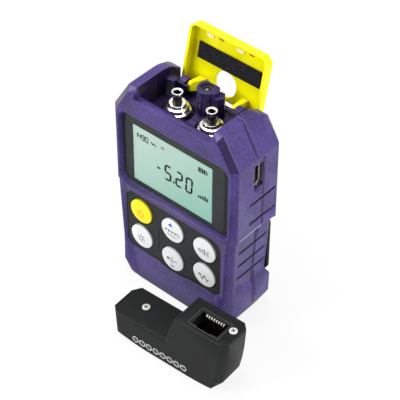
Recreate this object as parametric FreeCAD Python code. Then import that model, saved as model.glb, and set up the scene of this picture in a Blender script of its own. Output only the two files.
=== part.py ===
import FreeCAD, Part
import math
import os

# Pocket optical power meter with its cable test remote, standing on its foot.
# Millimetres. X runs across the face, Y from the face to the back, Z up to the ports.
# The origin lies on the foot, half way between the face and the back.

# ---- housing envelope ------------------------------------------------------------------
WIDTH = 55.8
DEPTH = 24.0
HEIGHT = 88.4
WING_TOP_WIDTH = 42.6
SHOULDER_Z = 76.7
STEP_Z = 44.2
STEP_DROP = 0.5
WAIST_TOP_INSET = 0.6
WAIST_LOW_INSET = 2.2
WAIST_LOW_Z = 14.7
FOOT_SIDE_INSET = 3.0
FOOT_SIDE_Z = 6.4
FOOT_EDGE_INSET = 4.9
FOOT_EDGE_RISE = 3.7
FOOT_FLAT = 14.0
EDGE_BEVEL = 2.1
BACK_BEVEL = 1.5
FOOT_FRONT_BEVEL = 1.0
WALL = 2.2
FRONT_WALL = 4.4
BACK_TOP_SLOPE = 4.0
WAIST_BACK_DEPTH = 19.5
WAIST_BACK_TOP_Z = 41.5
WAIST_BACK_LOW_Z = 17.2
COLLAR_DEPTH = 23.2
COLLAR_TOP_Z = 13.5
COLLAR_FOOT_DEPTH = 21.6
COLLAR_FOOT_Z = 2.6
FOOT_BACK_DEPTH = 19.8

# ---- parting line and its lip ----------------------------------------------------------
PARTING_TOP = 12.0
PARTING_UPPER = 15.1
PARTING_LOWER = 14.0
PARTING_GAP = 0.25
LIP_DEPTH = 1.2
LIP_THICK = 0.9

# ---- side grip -------------------------------------------------------------------------
GRIP_RECESS = 0.7
GRIP_LEDGE = 2.4
GRIP_START = 3.6
GROOVE_HEIGHT = 1.1
GROOVE_DEPTH = 0.7
GROOVE_LENGTH = 13.0
UPPER_GROOVE_START = 8.2
LOWER_GROOVE_START = 5.2
UPPER_GROOVES = 2
UPPER_GROOVE_Z = 49.2
UPPER_GROOVE_PITCH = 8.5
LOWER_GROOVES = 3
LOWER_GROOVE_Z = 23.1
LOWER_GROOVE_PITCH = 6.5
GROOVE_NOTCH = 1.6

# ---- port bay between the wings --------------------------------------------------------
BAY_WIDTH = 34.4
BAY_FLOOR_Z = 77.7
SILL_Z = 84.2
SILL_DEPTH = 3.5
SILL_STEP_DEPTH = 1.8
SILL_STEP = 0.4
BAY_BACK_WALL = 2.0
BAY_WALL_TOP_Z = 78.6
SHOULDER_BLOCK_WIDTH = 3.2
SHOULDER_BLOCK_START = 16.5
SHOULDER_BLOCK_END = 21.0
SHOULDER_BLOCK_TOP_Z = 84.5

# ---- display ---------------------------------------------------------------------------
SILL_OUTER_WIDTH = 50.0
DISPLAY_LOW_Z = 44.0
DISPLAY_TOP_Z = 76.9
DISPLAY_CORNER = 2.4
SILL_SLOPE_DEPTH = 1.64
SILL_SLOPE_INSET = 1.0
LENS_THICK = 0.5
MASK_THICK = 0.2
LENS_FIT = 0.1
LCD_VIEW_WIDTH = 36.2
LCD_VIEW_HEIGHT = 25.0
LCD_VIEW_X = -1.87
LCD_VIEW_LOW_Z = 46.45
LCD_MARGIN = 1.9
LCD_LOW_MARGIN = 0.5
LCD_THICK = 2.0
LCD_FIT = 0.15
BACKLIGHT_THICK = 1.8

# ---- keypad ----------------------------------------------------------------------------
KEY_RADIUS = 5.0
KEY_PITCH_X = 14.9
KEY_UPPER_Z = 34.7
KEY_LOWER_Z = 22.46
KEY_MIDDLE_DROP = 1.9
KEY_GAP = 0.35
KEY_TRAVEL = 0.6
KEY_PROUD = 0.15
KEY_FLANGE = 0.8
KEY_FLANGE_THICK = 0.8
KEY_FLANGE_Y = 3.0
KEY_STEM_RADIUS = 1.5
KEY_DOME = 0.35
PANEL_WIDTH = 44.4
PANEL_TOP_Z = 41.7
PANEL_LOW_Z = 15.3
PANEL_CORNER_RADIUS = 4.6
PANEL_FOOT_CORNER = 2.6
PANEL_BULGE = 1.2
PANEL_THICK = 1.4
PANEL_SINK = 0.35
PANEL_FIT = 0.1

# ---- board and switches ----------------------------------------------------------------
BOARD_FRONT = 9.0
BOARD_THICK = 1.4
BOARD_WIDTH = 39.0
BOARD_LOW_Z = 13.0
BOARD_TOP_Z = 61.0
BOARD_TAB_X = 15.0
BOARD_TAB_END = 24.6
BOARD_TAB_TOP_Z = 74.4
SWITCH_SIZE = 5.0
SWITCH_THICK = 1.6
STEM_CLEAR = 0.1
STANDOFF_RADIUS = 1.8
STANDOFF_UPPER_X = 17.0
STANDOFF_UPPER_Z = 43.2
STANDOFF_LOWER_X = 7.6
STANDOFF_LOWER_Z = 15.2

# ---- case screws -----------------------------------------------------------------------
POST_RADIUS = 2.7
POST_UPPER_X = 22.0
POST_UPPER_Z = 79.5
POST_LOWER_X = 20.6
POST_LOWER_Z = 9.6
SCREW_RADIUS = 1.0
SCREW_HEAD_RADIUS = 1.9
SCREW_HEAD_THICK = 1.3
SCREW_HEAD_SINK = 1.6
SCREW_REACH = 4.5
SCREW_FIT = 0.05

# ---- battery and its cover -------------------------------------------------------------
BATTERY_WIDTH = 38.0
BATTERY_HEIGHT = 19.0
BATTERY_THICK = 6.4
BATTERY_MIDDLE_Z = 29.0
BATTERY_BOARD_GAP = 0.3
BATTERY_DOOR_WIDTH = 41.0
BATTERY_DOOR_HEIGHT = 20.6
DOOR_PLATE_WIDTH = 51.6
DOOR_PLATE_HEIGHT = 22.6
DOOR_PLATE_THICK = 1.5
DOOR_STAND_OFF = 0.6
DOOR_PLUG_FIT = 0.2
DOOR_PLUG_THICK = 1.4
DOOR_SCREW_X = 23.2
DOOR_SCREW_RADIUS = 0.8
DOOR_SCREW_HEAD_RADIUS = 1.5
DOOR_SCREW_HEAD_THICK = 0.7
DOOR_SCREW_LENGTH = 4.2

# ---- usb socket ------------------------------------------------------------------------
USB_MIDDLE_Z = 68.7
USB_SLOT_LENGTH = 10.8
USB_SLOT_WIDTH = 5.0
USB_SLOT_MIDDLE = 12.4
USB_RECESS = 1.2
USB_BACK_FLARE = 1.0
USB_SHELL_LENGTH = 8.94
USB_SHELL_WIDTH = 3.26
USB_SHELL_DEPTH = 7.3
USB_SHELL_WALL = 0.3
USB_TONGUE_LENGTH = 6.7
USB_TONGUE_THICK = 0.7
USB_TONGUE_BASE = 1.6
USB_MOUTH_SINK = 1.4

# ---- optical ports ---------------------------------------------------------------------
PORT_PITCH = 15.3
PORT_DEPTH = 11.6
PORT_TOP_Z = 86.2
FERRULE_BORE_RADIUS = 1.26
SLEEVE_RADIUS = 1.55
SLEEVE_RING_RADIUS = 2.0
SLEEVE_RING_HEIGHT = 1.0
BARREL_RADIUS = 1.75
PORT_WELL_RADIUS = 6.0
PORT_WELL_DEPTH = 1.6
FLANGE_RADIUS = 4.75
FLANGE_HEIGHT = 1.2
NUT_RADIUS = 4.1
NUT_HEIGHT = 1.5
NUT_COLLAR_RADIUS = 3.1
NUT_COLLAR_HEIGHT = 1.3
MODULE_RADIUS = 3.6
MODULE_LENGTH = 12.0
MODULE_FIT = 0.1

# ---- torch -----------------------------------------------------------------------------
TORCH_DEPTH = 18.1
TORCH_RADIUS = 3.6
TORCH_TOP_Z = 88.2
TORCH_BACK = 3.0
TORCH_RIB_RADIUS = 0.35
TORCH_RIBS = 7
TORCH_HEAD = 2.2
TORCH_NECK = 0.45
TORCH_BORE_RADIUS = 2.3
TORCH_BORE_DEPTH = 5.0
TORCH_LENS_SINK = 0.5
LED_BODY_RADIUS = 1.5

# ---- port cover and its hinge ----------------------------------------------------------
HINGE_DEPTH = 21.2
HINGE_Z = 81.9
COVER_WIDTH = 33.6
COVER_LENGTH_FRONT = 21.4
COVER_OVERHANG = 1.9
COVER_OUTER = 6.5
COVER_PLATE = 1.2
COVER_RIM = 2.4
COVER_RIM_WALL = 1.1
COVER_CORNER_RADIUS = 2.2
COVER_OPEN_DEG = 102.4
ARM_X = 9.0
ARM_WIDTH = 3.2
ARM_ROOT = 2.2
KNUCKLE_RADIUS = 1.8
PIN_RADIUS = 1.0
PIN_CLEAR = 0.08
PIN_REACH = 2.2
HOOK_GAP = 0.35
HOOK_WIDTH = 2.7
HOOK_RADIUS = 2.2
CLAW_REACH = 2.2
CLAW_THICK = 0.9
CLAW_GAP = 0.2
HOLE_WIDTH = 8.6
HOLE_LENGTH = 9.4
FOAM_WIDTH = 27.0
FOAM_LENGTH = 6.0
FOAM_START = 7.4
FOAM_THICK = 0.6
CATCH_X = 6.4
CATCH_WIDTH = 1.6
CATCH_HEIGHT = 0.7

# ---- remote module, standing in front of the meter -------------------------------------
REMOTE_X = 19.4
REMOTE_Y = -30.1
REMOTE_YAW = 3.0
REMOTE_LENGTH = 50.4
REMOTE_DEPTH = 13.8
REMOTE_HIGH_TOP = 25.6
REMOTE_LOW_TOP = 11.9
REMOTE_HIGH_LENGTH = 21.9
REMOTE_STEP_RUN = 4.5
REMOTE_CORNER = 2.2
REMOTE_FOOT_FLAT = 16.0
REMOTE_FOOT_RISE = 1.5
REMOTE_END_RISE = 4.6
REMOTE_END_INSET = 2.4
REMOTE_WALL = 1.4
REMOTE_EDGE = 0.5
REMOTE_LID_THICK = 1.2
REMOTE_LID_INSET = 1.1
REMOTE_LID_GAP = 0.2
REMOTE_LID_STEP_GAP = 0.8
REMOTE_LID_SINK = 0.15
REMOTE_LOW_SCREW_INSET = 9.0
REMOTE_HIGH_SCREW_INSET = 2.9
REMOTE_SCREW_Y = 1.2
REMOTE_SCREW_RADIUS = 0.8
REMOTE_SCREW_HEAD = 1.5
REMOTE_SCREW_HEAD_THICK = 0.7
REMOTE_SCREW_LENGTH = 6.0
REMOTE_POST_RADIUS = 1.3
JACK_FROM_END = 11.0
JACK_Y = -1.1
JACK_OPENING = 11.0
JACK_OPENING_DEPTH = 6.6
JACK_SHIELD_WALL = 0.25
JACK_BODY_WALL = 0.8
JACK_PLUG_DEPTH = 12.0
JACK_BODY_LENGTH = 14.6
JACK_PROUD = 0.1
JACK_LATCH_WIDTH = 6.0
JACK_LATCH_DEPTH = 0.7
JACK_CONTACTS = 8
JACK_CONTACT_PITCH = 1.02
JACK_CONTACT_WIDTH = 0.4
JACK_CONTACT_LENGTH = 7.0
JACK_CONTACT_SINK = 1.0
JACK_CONTACT_BULGE = 1.5
REMOTE_BOARD_THICK = 1.2
LED_COUNT = 8
LED_PITCH = 3.1
LED_INSET = 10.5
LED_Z = 2.9
LED_RADIUS = 0.9
LED_LENGTH = 2.2
LED_PROUD = 0.1

FRONT = -DEPTH / 2
BACK = DEPTH / 2
REMOTE_STEP_TOP_X = REMOTE_LENGTH / 2 - REMOTE_HIGH_LENGTH
REMOTE_STEP_FOOT_X = REMOTE_STEP_TOP_X - REMOTE_STEP_RUN
REMOTE_SCREWS = (
    (REMOTE_LOW_SCREW_INSET - REMOTE_LENGTH / 2, REMOTE_LOW_TOP),
    (REMOTE_LENGTH / 2 - REMOTE_HIGH_SCREW_INSET, REMOTE_HIGH_TOP),
)
JACK_X = REMOTE_LENGTH / 2 - JACK_FROM_END
LED_FIRST_X = LED_INSET - REMOTE_LENGTH / 2


# ---- helpers ---------------------------------------------------------------------------
def vec(x, y, z):
    """A point or direction."""
    return FreeCAD.Vector(x, y, z)


def depth(from_face):
    """The Y of a plane at a distance behind the face."""
    return FRONT + from_face


def box(x0, x1, y0, y1, z0, z1):
    """A box between two corners."""
    return Part.makeBox(x1 - x0, y1 - y0, z1 - z0, vec(x0, y0, z0))


def rod(radius, start, direction, length):
    """A cylinder from a point along a direction."""
    return Part.makeCylinder(radius, length, start, direction)


def prism(points, along):
    """A straight prism on a closed polygon."""
    wire = Part.makePolygon(points + [points[0]])
    return Part.Face(wire).extrude(along)


def prism_xz(points, y0, y1):
    """A prism on an outline seen from the front."""
    return prism([vec(x, y0, z) for x, z in points], vec(0, y1 - y0, 0))


def prism_yz(points, x0, x1):
    """A prism on an outline seen from the side."""
    return prism([vec(x0, y, z) for y, z in points], vec(x1 - x0, 0, 0))


def prism_xy(points, z0, z1):
    """A prism on an outline seen from above."""
    return prism([vec(x, y, z0) for x, y in points], vec(0, 0, z1 - z0))


def both_sides(points):
    """A right-hand outline, from the bottom up, closed by its mirror image."""
    return points + [(-x, z) for x, z in reversed(points)]


def mirrored(shape):
    """The same shape on the other side of the middle plane."""
    return shape.mirror(vec(0, 0, 0), vec(1, 0, 0))


def fused(shapes):
    """One solid from several that touch or overlap."""
    first = shapes[0]
    if len(shapes) > 1:
        first = first.fuse(shapes[1:])
    return first.removeSplitter()


def chamfered_rectangle(half_x, z0, z1, corner):
    """A rectangle seen from the front, with its four corners cut off."""
    right = [(half_x - corner, z0), (half_x, z0 + corner), (half_x, z1 - corner), (half_x - corner, z1)]
    return both_sides(right)


def edges_where(shape, keep):
    """The edges of a shape whose centre passes a test."""
    return [edge for edge in shape.Edges if keep(edge.CenterOfMass, edge.BoundBox)]


def export(name, shape):
    """One STEP file for one node."""
    shape.exportStep("parts/" + name + ".step")


# ---- housing ---------------------------------------------------------------------------
def waist_half(z):
    """Half the width of the waist at a height."""
    share = (z - WAIST_LOW_Z) / (STEP_Z - WAIST_LOW_Z)
    return WIDTH / 2 - WAIST_LOW_INSET + share * (WAIST_LOW_INSET - WAIST_TOP_INSET)


def front_profile(y0, y1):
    """The body's outline from the front: a bowed foot, a tapered waist and cut shoulders."""
    foot = WIDTH / 2 - FOOT_EDGE_INSET
    flat = FOOT_FLAT / 2
    middle = (foot + flat) / 2
    sag = FOOT_EDGE_RISE * ((middle - flat) / (foot - flat)) ** 2
    right = [
        (foot, FOOT_EDGE_RISE),
        (WIDTH / 2 - FOOT_SIDE_INSET, FOOT_SIDE_Z),
        (WIDTH / 2 - WAIST_LOW_INSET, WAIST_LOW_Z),
        (WIDTH / 2 - WAIST_TOP_INSET, STEP_Z - STEP_DROP),
        (WIDTH / 2, STEP_Z),
        (WIDTH / 2, SHOULDER_Z),
        (WING_TOP_WIDTH / 2, HEIGHT),
    ]
    upper = [vec(x, y0, z) for x, z in both_sides(right)]
    edges = [Part.makeLine(a, b) for a, b in zip(upper, upper[1:])]
    left_arc = Part.Arc(upper[-1], vec(-middle, y0, sag), vec(-flat, y0, 0)).toShape()
    base = Part.makeLine(vec(-flat, y0, 0), vec(flat, y0, 0))
    right_arc = Part.Arc(vec(flat, y0, 0), vec(middle, y0, sag), upper[0]).toShape()
    wire = Part.Wire(edges + [left_arc, base, right_arc])
    return Part.Face(wire).extrude(vec(0, y1 - y0, 0))


def side_profile():
    """The body's outline from the side: a sloped top back edge, a waist and a collar."""
    points = [
        (0.0, FOOT_FRONT_BEVEL),
        (0.0, HEIGHT),
        (DEPTH - BACK_TOP_SLOPE, HEIGHT),
        (DEPTH, HEIGHT - BACK_TOP_SLOPE),
        (DEPTH, WAIST_BACK_TOP_Z + DEPTH - WAIST_BACK_DEPTH),
        (WAIST_BACK_DEPTH, WAIST_BACK_TOP_Z),
        (WAIST_BACK_DEPTH, WAIST_BACK_LOW_Z),
        (COLLAR_DEPTH, COLLAR_TOP_Z),
        (COLLAR_FOOT_DEPTH, COLLAR_FOOT_Z),
        (FOOT_BACK_DEPTH, 0.0),
        (FOOT_FRONT_BEVEL, 0.0),
    ]
    return prism_yz([(depth(y), z) for y, z in points], -WIDTH, WIDTH)


def envelope():
    """The whole outer body, before anything is cut into it."""
    block = front_profile(FRONT, BACK)
    front_edges = edges_where(block, lambda c, b: abs(c.y - FRONT) < 1e-6 and c.z > FOOT_EDGE_RISE)
    block = block.makeChamfer(EDGE_BEVEL, front_edges)
    back_edges = edges_where(
        block, lambda c, b: abs(c.y - BACK) < 1e-6 and STEP_Z < c.z and abs(c.x) > WING_TOP_WIDTH / 4
    )
    block = block.makeChamfer(BACK_BEVEL, back_edges)
    return block.common(side_profile())


def grip_recess():
    """The shallow step in each flank that leaves a sloped collar above the foot."""
    top = waist_half(STEP_Z) - GRIP_RECESS
    low_z = WAIST_LOW_Z + GRIP_LEDGE
    low = waist_half(low_z) - GRIP_RECESS
    points = [
        (top, STEP_Z),
        (WIDTH, STEP_Z),
        (WIDTH, WAIST_LOW_Z - 1.0),
        (waist_half(WAIST_LOW_Z), WAIST_LOW_Z),
        (low, low_z),
    ]
    right = prism_xz(points, depth(GRIP_START), BACK)
    return [right, mirrored(right)]


def groove(flank, start, z):
    """One finger groove in the right flank, with a deeper notch at its front end."""
    half = GROOVE_HEIGHT / 2
    inner = flank - GROOVE_DEPTH
    slot = box(inner, flank + 1, depth(start), depth(start + GROOVE_LENGTH), z - half, z + half)
    nose = rod(half, vec(inner, depth(start + GROOVE_LENGTH), z), vec(1, 0, 0), GROOVE_DEPTH + 1)
    notch = prism(
        [
            vec(inner - GROOVE_DEPTH / 2, depth(start), z - half),
            vec(inner - GROOVE_DEPTH / 2, depth(start + GROOVE_NOTCH), z - half),
            vec(inner - GROOVE_DEPTH / 2, depth(start), z + half),
        ],
        vec(GROOVE_DEPTH * 1.5 + 1, 0, 0),
    )
    return [slot, nose, notch]


def grip_grooves():
    """Two grooves in each upper flank and three in each side of the waist."""
    cuts = []
    for index in range(UPPER_GROOVES):
        cuts += groove(WIDTH / 2, UPPER_GROOVE_START, UPPER_GROOVE_Z + index * UPPER_GROOVE_PITCH)
    for index in range(LOWER_GROOVES):
        z = LOWER_GROOVE_Z + index * LOWER_GROOVE_PITCH
        cuts += groove(waist_half(z) - GRIP_RECESS, LOWER_GROOVE_START, z)
    return cuts + [mirrored(cut) for cut in cuts]


def bay_cut():
    """The open bay between the wings, with a stepped sill in front and a low wall behind."""
    half = BAY_WIDTH / 2
    above = HEIGHT + 1
    wall_front = depth(DEPTH - BAY_BACK_WALL)
    return [
        box(-half, half, depth(SILL_DEPTH), wall_front, BAY_FLOOR_Z, above),
        box(-half, half, depth(-1), depth(SILL_DEPTH + 1), SILL_Z, above),
        box(-half, half, depth(SILL_STEP_DEPTH), depth(SILL_DEPTH + 1), SILL_Z - SILL_STEP, above),
        box(-half, half, wall_front - 1, BACK + 1, BAY_WALL_TOP_Z, above),
    ]


def port_positions():
    """The X of the two optical ports: power meter on the left, fault finder on the right."""
    return {"power": -PORT_PITCH / 2, "fault": PORT_PITCH / 2}


def port_wells():
    """The round wells in the bay floor and the bores that hold the optical modules."""
    cuts = []
    for x in port_positions().values():
        foot = vec(x, depth(PORT_DEPTH), BAY_FLOOR_Z - PORT_WELL_DEPTH)
        cuts.append(rod(PORT_WELL_RADIUS, foot, vec(0, 0, 1), PORT_WELL_DEPTH + 1))
        cuts.append(rod(MODULE_RADIUS + MODULE_FIT, foot, vec(0, 0, -1), WALL + 4))
    return cuts


def shoulder_blocks():
    """The low block at the back of each wing's inner face."""
    half = BAY_WIDTH / 2
    right = box(
        half - SHOULDER_BLOCK_WIDTH, half, depth(SHOULDER_BLOCK_START), depth(SHOULDER_BLOCK_END),
        BAY_FLOOR_Z, SHOULDER_BLOCK_TOP_Z,
    )
    return [right, mirrored(right)]


def display_cut():
    """The sloped display surround, the lens seat and the window behind it."""
    low = DISPLAY_LOW_Z
    top = DISPLAY_TOP_Z
    half = SILL_OUTER_WIDTH / 2
    inset = SILL_SLOPE_INSET
    over = 0.5
    grow = inset * over / SILL_SLOPE_DEPTH
    outer = [
        vec(x, depth(-over), z)
        for x, z in chamfered_rectangle(half + grow, low - grow, top + grow, DISPLAY_CORNER)
    ]
    inner = [
        vec(x, depth(SILL_SLOPE_DEPTH), z)
        for x, z in chamfered_rectangle(half - inset, low + inset, top - inset, DISPLAY_CORNER)
    ]
    wires = [Part.makePolygon(ring + [ring[0]]) for ring in (outer, inner)]
    slope = Part.makeLoft(wires, True, True)
    seat = prism_xz(
        chamfered_rectangle(half - inset, low + inset, top - inset, DISPLAY_CORNER),
        depth(SILL_SLOPE_DEPTH), depth(SILL_SLOPE_DEPTH + LENS_THICK + MASK_THICK),
    )
    lcd = lcd_box(LCD_FIT, depth(SILL_SLOPE_DEPTH), depth(FRONT_WALL + 1))
    return [slope, seat, lcd]


def lcd_box(grow, y0, y1):
    """The outline of the liquid crystal panel, grown by a clearance."""
    left = LCD_VIEW_X - LCD_VIEW_WIDTH / 2 - LCD_MARGIN - grow
    right = LCD_VIEW_X + LCD_VIEW_WIDTH / 2 + LCD_MARGIN + grow
    low = LCD_VIEW_LOW_Z - LCD_LOW_MARGIN - grow
    top = LCD_VIEW_LOW_Z + LCD_VIEW_HEIGHT + LCD_MARGIN + grow
    return box(left, right, y0, y1, low, top)


def key_places():
    """The centre of each key on the face."""
    return {
        "key_power": (-KEY_PITCH_X, KEY_UPPER_Z),
        "key_light": (-KEY_PITCH_X, KEY_LOWER_Z),
        "key_up": (0.0, KEY_UPPER_Z),
        "key_down": (0.0, KEY_LOWER_Z - KEY_MIDDLE_DROP),
        "key_torch": (KEY_PITCH_X, KEY_UPPER_Z),
        "key_wavelength": (KEY_PITCH_X, KEY_LOWER_Z),
    }


def keypad_outline(y, grow):
    """The face of the keypad panel: large upper corners, cut lower corners, a bulge between."""
    half = PANEL_WIDTH / 2 + grow
    top = PANEL_TOP_Z + grow
    low = PANEL_LOW_Z - grow
    radius = PANEL_CORNER_RADIUS
    cut = PANEL_FOOT_CORNER
    bulge = KEY_RADIUS + 1.5
    middle = radius * (1 - math.sqrt(0.5))
    line = Part.makeLine
    edges = [
        line(vec(half, y, low + cut), vec(half, y, top - radius)),
        Part.Arc(
            vec(half, y, top - radius), vec(half - middle, y, top - middle), vec(half - radius, y, top)
        ).toShape(),
        line(vec(half - radius, y, top), vec(-half + cut, y, top)),
        line(vec(-half + cut, y, top), vec(-half, y, top - cut)),
        line(vec(-half, y, top - cut), vec(-half, y, low + cut)),
        line(vec(-half, y, low + cut), vec(-half + cut, y, low)),
        line(vec(-half + cut, y, low), vec(-bulge, y, low)),
        Part.Arc(vec(-bulge, y, low), vec(0, y, low - PANEL_BULGE), vec(bulge, y, low)).toShape(),
        line(vec(bulge, y, low), vec(half - cut, y, low)),
        line(vec(half - cut, y, low), vec(half, y, low + cut)),
    ]
    return Part.Face(Part.Wire(edges))


def keypad_cut():
    """The shallow seat of the keypad panel and the key holes behind it."""
    seat = keypad_outline(depth(-0.5), PANEL_FIT).extrude(vec(0, PANEL_SINK + PANEL_THICK + 0.5, 0))
    holes = [
        rod(KEY_RADIUS + KEY_GAP, vec(x, depth(-0.5), z), vec(0, 1, 0), FRONT_WALL + 1)
        for x, z in key_places().values()
    ]
    wells = [
        rod(
            KEY_RADIUS + KEY_FLANGE + KEY_GAP, vec(x, depth(KEY_FLANGE_Y), z), vec(0, 1, 0),
            FRONT_WALL - KEY_FLANGE_Y + 1,
        )
        for x, z in key_places().values()
    ]
    return [seat] + holes + wells


def usb_cut():
    """The side slot for the charging socket, straight in front and flared behind."""
    half = USB_SLOT_LENGTH / 2
    reach = USB_SLOT_WIDTH / 2
    middle = depth(USB_SLOT_MIDDLE)
    flare = USB_BACK_FLARE
    outline = [
        (middle - reach, USB_MIDDLE_Z - half),
        (middle - reach, USB_MIDDLE_Z + half),
        (middle + reach - flare, USB_MIDDLE_Z + half),
        (middle + reach, USB_MIDDLE_Z + half - flare),
        (middle + reach, USB_MIDDLE_Z - half + flare),
        (middle + reach - flare, USB_MIDDLE_Z - half),
    ]
    recess = prism_yz(outline, WIDTH / 2 - USB_RECESS, WIDTH / 2 + 1)
    through = stadium_x(USB_SHELL_LENGTH + 0.3, USB_SHELL_WIDTH + 0.3, WIDTH / 2 - 3 * WALL, WIDTH / 2)
    return [recess, through]


def stadium_x(length, width, x0, x1):
    """A bar with round ends along Z, run through in X at the charging socket."""
    radius = width / 2
    straight = length / 2 - radius
    middle = depth(USB_SLOT_MIDDLE)
    bar = box(x0, x1, middle - radius, middle + radius, USB_MIDDLE_Z - straight, USB_MIDDLE_Z + straight)
    ends = [
        rod(radius, vec(x0, middle, USB_MIDDLE_Z + side * straight), vec(1, 0, 0), x1 - x0)
        for side in (-1, 1)
    ]
    return fused([bar] + ends)


def cavity(inset):
    """The room inside the two shells, grown smaller by an inset for the parting lip."""
    side = WIDTH / 2 - WALL - inset
    waist_top = side - WAIST_TOP_INSET - GRIP_RECESS
    waist_low = side - WAIST_LOW_INSET - GRIP_RECESS
    low = FOOT_EDGE_RISE + WALL + inset
    right = [
        (side - FOOT_EDGE_INSET, low),
        (waist_low, WAIST_LOW_Z),
        (waist_top, STEP_Z),
        (side, STEP_Z + WALL),
        (side, BAY_FLOOR_Z - PORT_WELL_DEPTH - WALL + 1 - inset),
    ]
    return right


def cavity_solid(inset=0.0):
    """The hollow between the shells, deep behind the display and shallow at the waist."""
    hollow = prism_xz(both_sides(cavity(inset)), depth(FRONT_WALL + inset), depth(DEPTH - WALL - inset))
    waist = prism_yz(
        [
            (depth(WAIST_BACK_DEPTH - WALL + 0.4), WAIST_BACK_TOP_Z + WALL),
            (BACK, WAIST_BACK_TOP_Z + WALL + DEPTH - WAIST_BACK_DEPTH + WALL - 0.4),
            (BACK, -1.0),
            (depth(WAIST_BACK_DEPTH - WALL + 0.4), -1.0),
        ],
        -WIDTH, WIDTH,
    )
    return hollow.cut(waist)


def rear_side(gap):
    """Everything behind the parting line, which steps with the body."""
    points = [
        (depth(PARTING_TOP) + gap, HEIGHT + 1),
        (depth(PARTING_TOP) + gap, SHOULDER_Z),
        (depth(PARTING_UPPER) + gap, SHOULDER_Z - 0.8),
        (depth(PARTING_UPPER) + gap, STEP_Z + 0.4),
        (depth(PARTING_LOWER) + gap, STEP_Z - 0.6),
        (depth(PARTING_LOWER) + gap, -1.0),
        (BACK + 5, -1.0),
        (BACK + 5, HEIGHT + 1),
    ]
    return prism_yz(points, -WIDTH, WIDTH)


def post_places():
    """The four case screw posts."""
    upper = [(side * POST_UPPER_X, POST_UPPER_Z) for side in (-1, 1)]
    lower = [(side * POST_LOWER_X, POST_LOWER_Z) for side in (-1, 1)]
    return upper + lower


def post_back(z):
    """How deep the outer back face lies at a post."""
    if z > STEP_Z:
        return DEPTH
    share = (z - COLLAR_FOOT_Z) / (COLLAR_TOP_Z - COLLAR_FOOT_Z)
    return COLLAR_FOOT_DEPTH + share * (COLLAR_DEPTH - COLLAR_FOOT_DEPTH)


def screw_seat(z):
    """The depth of the face that a case screw's head sits on."""
    return post_back(z) - SCREW_HEAD_SINK - SCREW_HEAD_THICK


def housing_body():
    """The outer body with every visible cut, before it is hollowed and parted."""
    body = envelope()
    cuts = grip_recess() + grip_grooves() + bay_cut() + port_wells()
    cuts += display_cut() + keypad_cut() + usb_cut()
    body = body.cut(cuts)
    return body.fuse(shoulder_blocks()).removeSplitter()


def front_shell(body):
    """The face, the front of the flanks and the bay floor's front part."""
    shell = body.cut([rear_side(0.0), cavity_solid()])
    posts = []
    for x, z in post_places():
        end = parting_at(z)
        posts.append(rod(POST_RADIUS, vec(x, depth(FRONT_WALL - 1), z), vec(0, 1, 0), end - FRONT_WALL + 1))
    standoffs = [
        rod(
            STANDOFF_RADIUS, vec(side * x, depth(FRONT_WALL - 1), z), vec(0, 1, 0),
            BOARD_FRONT - FRONT_WALL + 1,
        )
        for side in (-1, 1)
        for x, z in ((STANDOFF_UPPER_X, STANDOFF_UPPER_Z), (STANDOFF_LOWER_X, STANDOFF_LOWER_Z))
    ]
    shell = shell.fuse(posts + standoffs)
    bores = []
    for x, z in post_places():
        start = parting_at(z) - SCREW_REACH
        bores.append(rod(SCREW_RADIUS + SCREW_FIT, vec(x, depth(start), z), vec(0, 1, 0), SCREW_REACH + 1))
    return shell.cut(bores).removeSplitter()


def parting_at(z):
    """The depth of the parting line at a height."""
    if z > SHOULDER_Z:
        return PARTING_TOP
    if z > STEP_Z:
        return PARTING_UPPER
    return PARTING_LOWER


def rear_shell(body):
    """The back, with its lip, screw posts, battery door and the cover's hinge hooks."""
    shell = body.common(rear_side(PARTING_GAP)).cut(cavity_solid())
    band = rear_side(-LIP_DEPTH).cut(rear_side(PARTING_GAP + 1.0))
    lip = cavity_solid().cut(cavity_solid(LIP_THICK)).common(band).cut(port_wells() + usb_cut())
    posts = []
    for x, z in post_places():
        start = parting_at(z) + PARTING_GAP
        posts.append(
            rod(POST_RADIUS, vec(x, depth(start), z), vec(0, 1, 0), screw_seat(z) - start + SCREW_HEAD_THICK)
        )
    shell = shell.fuse([lip] + posts + hinge_hooks())
    holes = []
    for x, z in post_places():
        start = parting_at(z)
        mouth = vec(x, depth(start - LIP_DEPTH - 1), z)
        holes.append(rod(SCREW_RADIUS + SCREW_FIT, mouth, vec(0, 1, 0), DEPTH))
        holes.append(
            rod(SCREW_HEAD_RADIUS + SCREW_FIT, vec(x, depth(screw_seat(z)), z), vec(0, 1, 0), DEPTH)
        )
    door = box(
        -BATTERY_DOOR_WIDTH / 2, BATTERY_DOOR_WIDTH / 2,
        depth(WAIST_BACK_DEPTH - 2 * WALL), depth(WAIST_BACK_DEPTH + 1),
        BATTERY_MIDDLE_Z - BATTERY_DOOR_HEIGHT / 2, BATTERY_MIDDLE_Z + BATTERY_DOOR_HEIGHT / 2,
    )
    door_screws = [
        rod(DOOR_SCREW_RADIUS + SCREW_FIT, vec(side * DOOR_SCREW_X, depth(WAIST_BACK_DEPTH - 2 * WALL),
                                               BATTERY_MIDDLE_Z), vec(0, 1, 0), 2 * WALL + 1)
        for side in (-1, 1)
    ]
    shell = shell.cut(holes + [door] + door_screws + [front_clear()])
    return shell.removeSplitter()


def front_clear():
    """Room in the rear shell's lip for the front shell's own posts."""
    rods = [
        rod(POST_RADIUS + 0.2, vec(x, depth(parting_at(z) - LIP_DEPTH - 0.5), z), vec(0, 1, 0),
            LIP_DEPTH + 0.5)
        for x, z in post_places()
    ]
    return rods[0].fuse(rods[1:])


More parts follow.
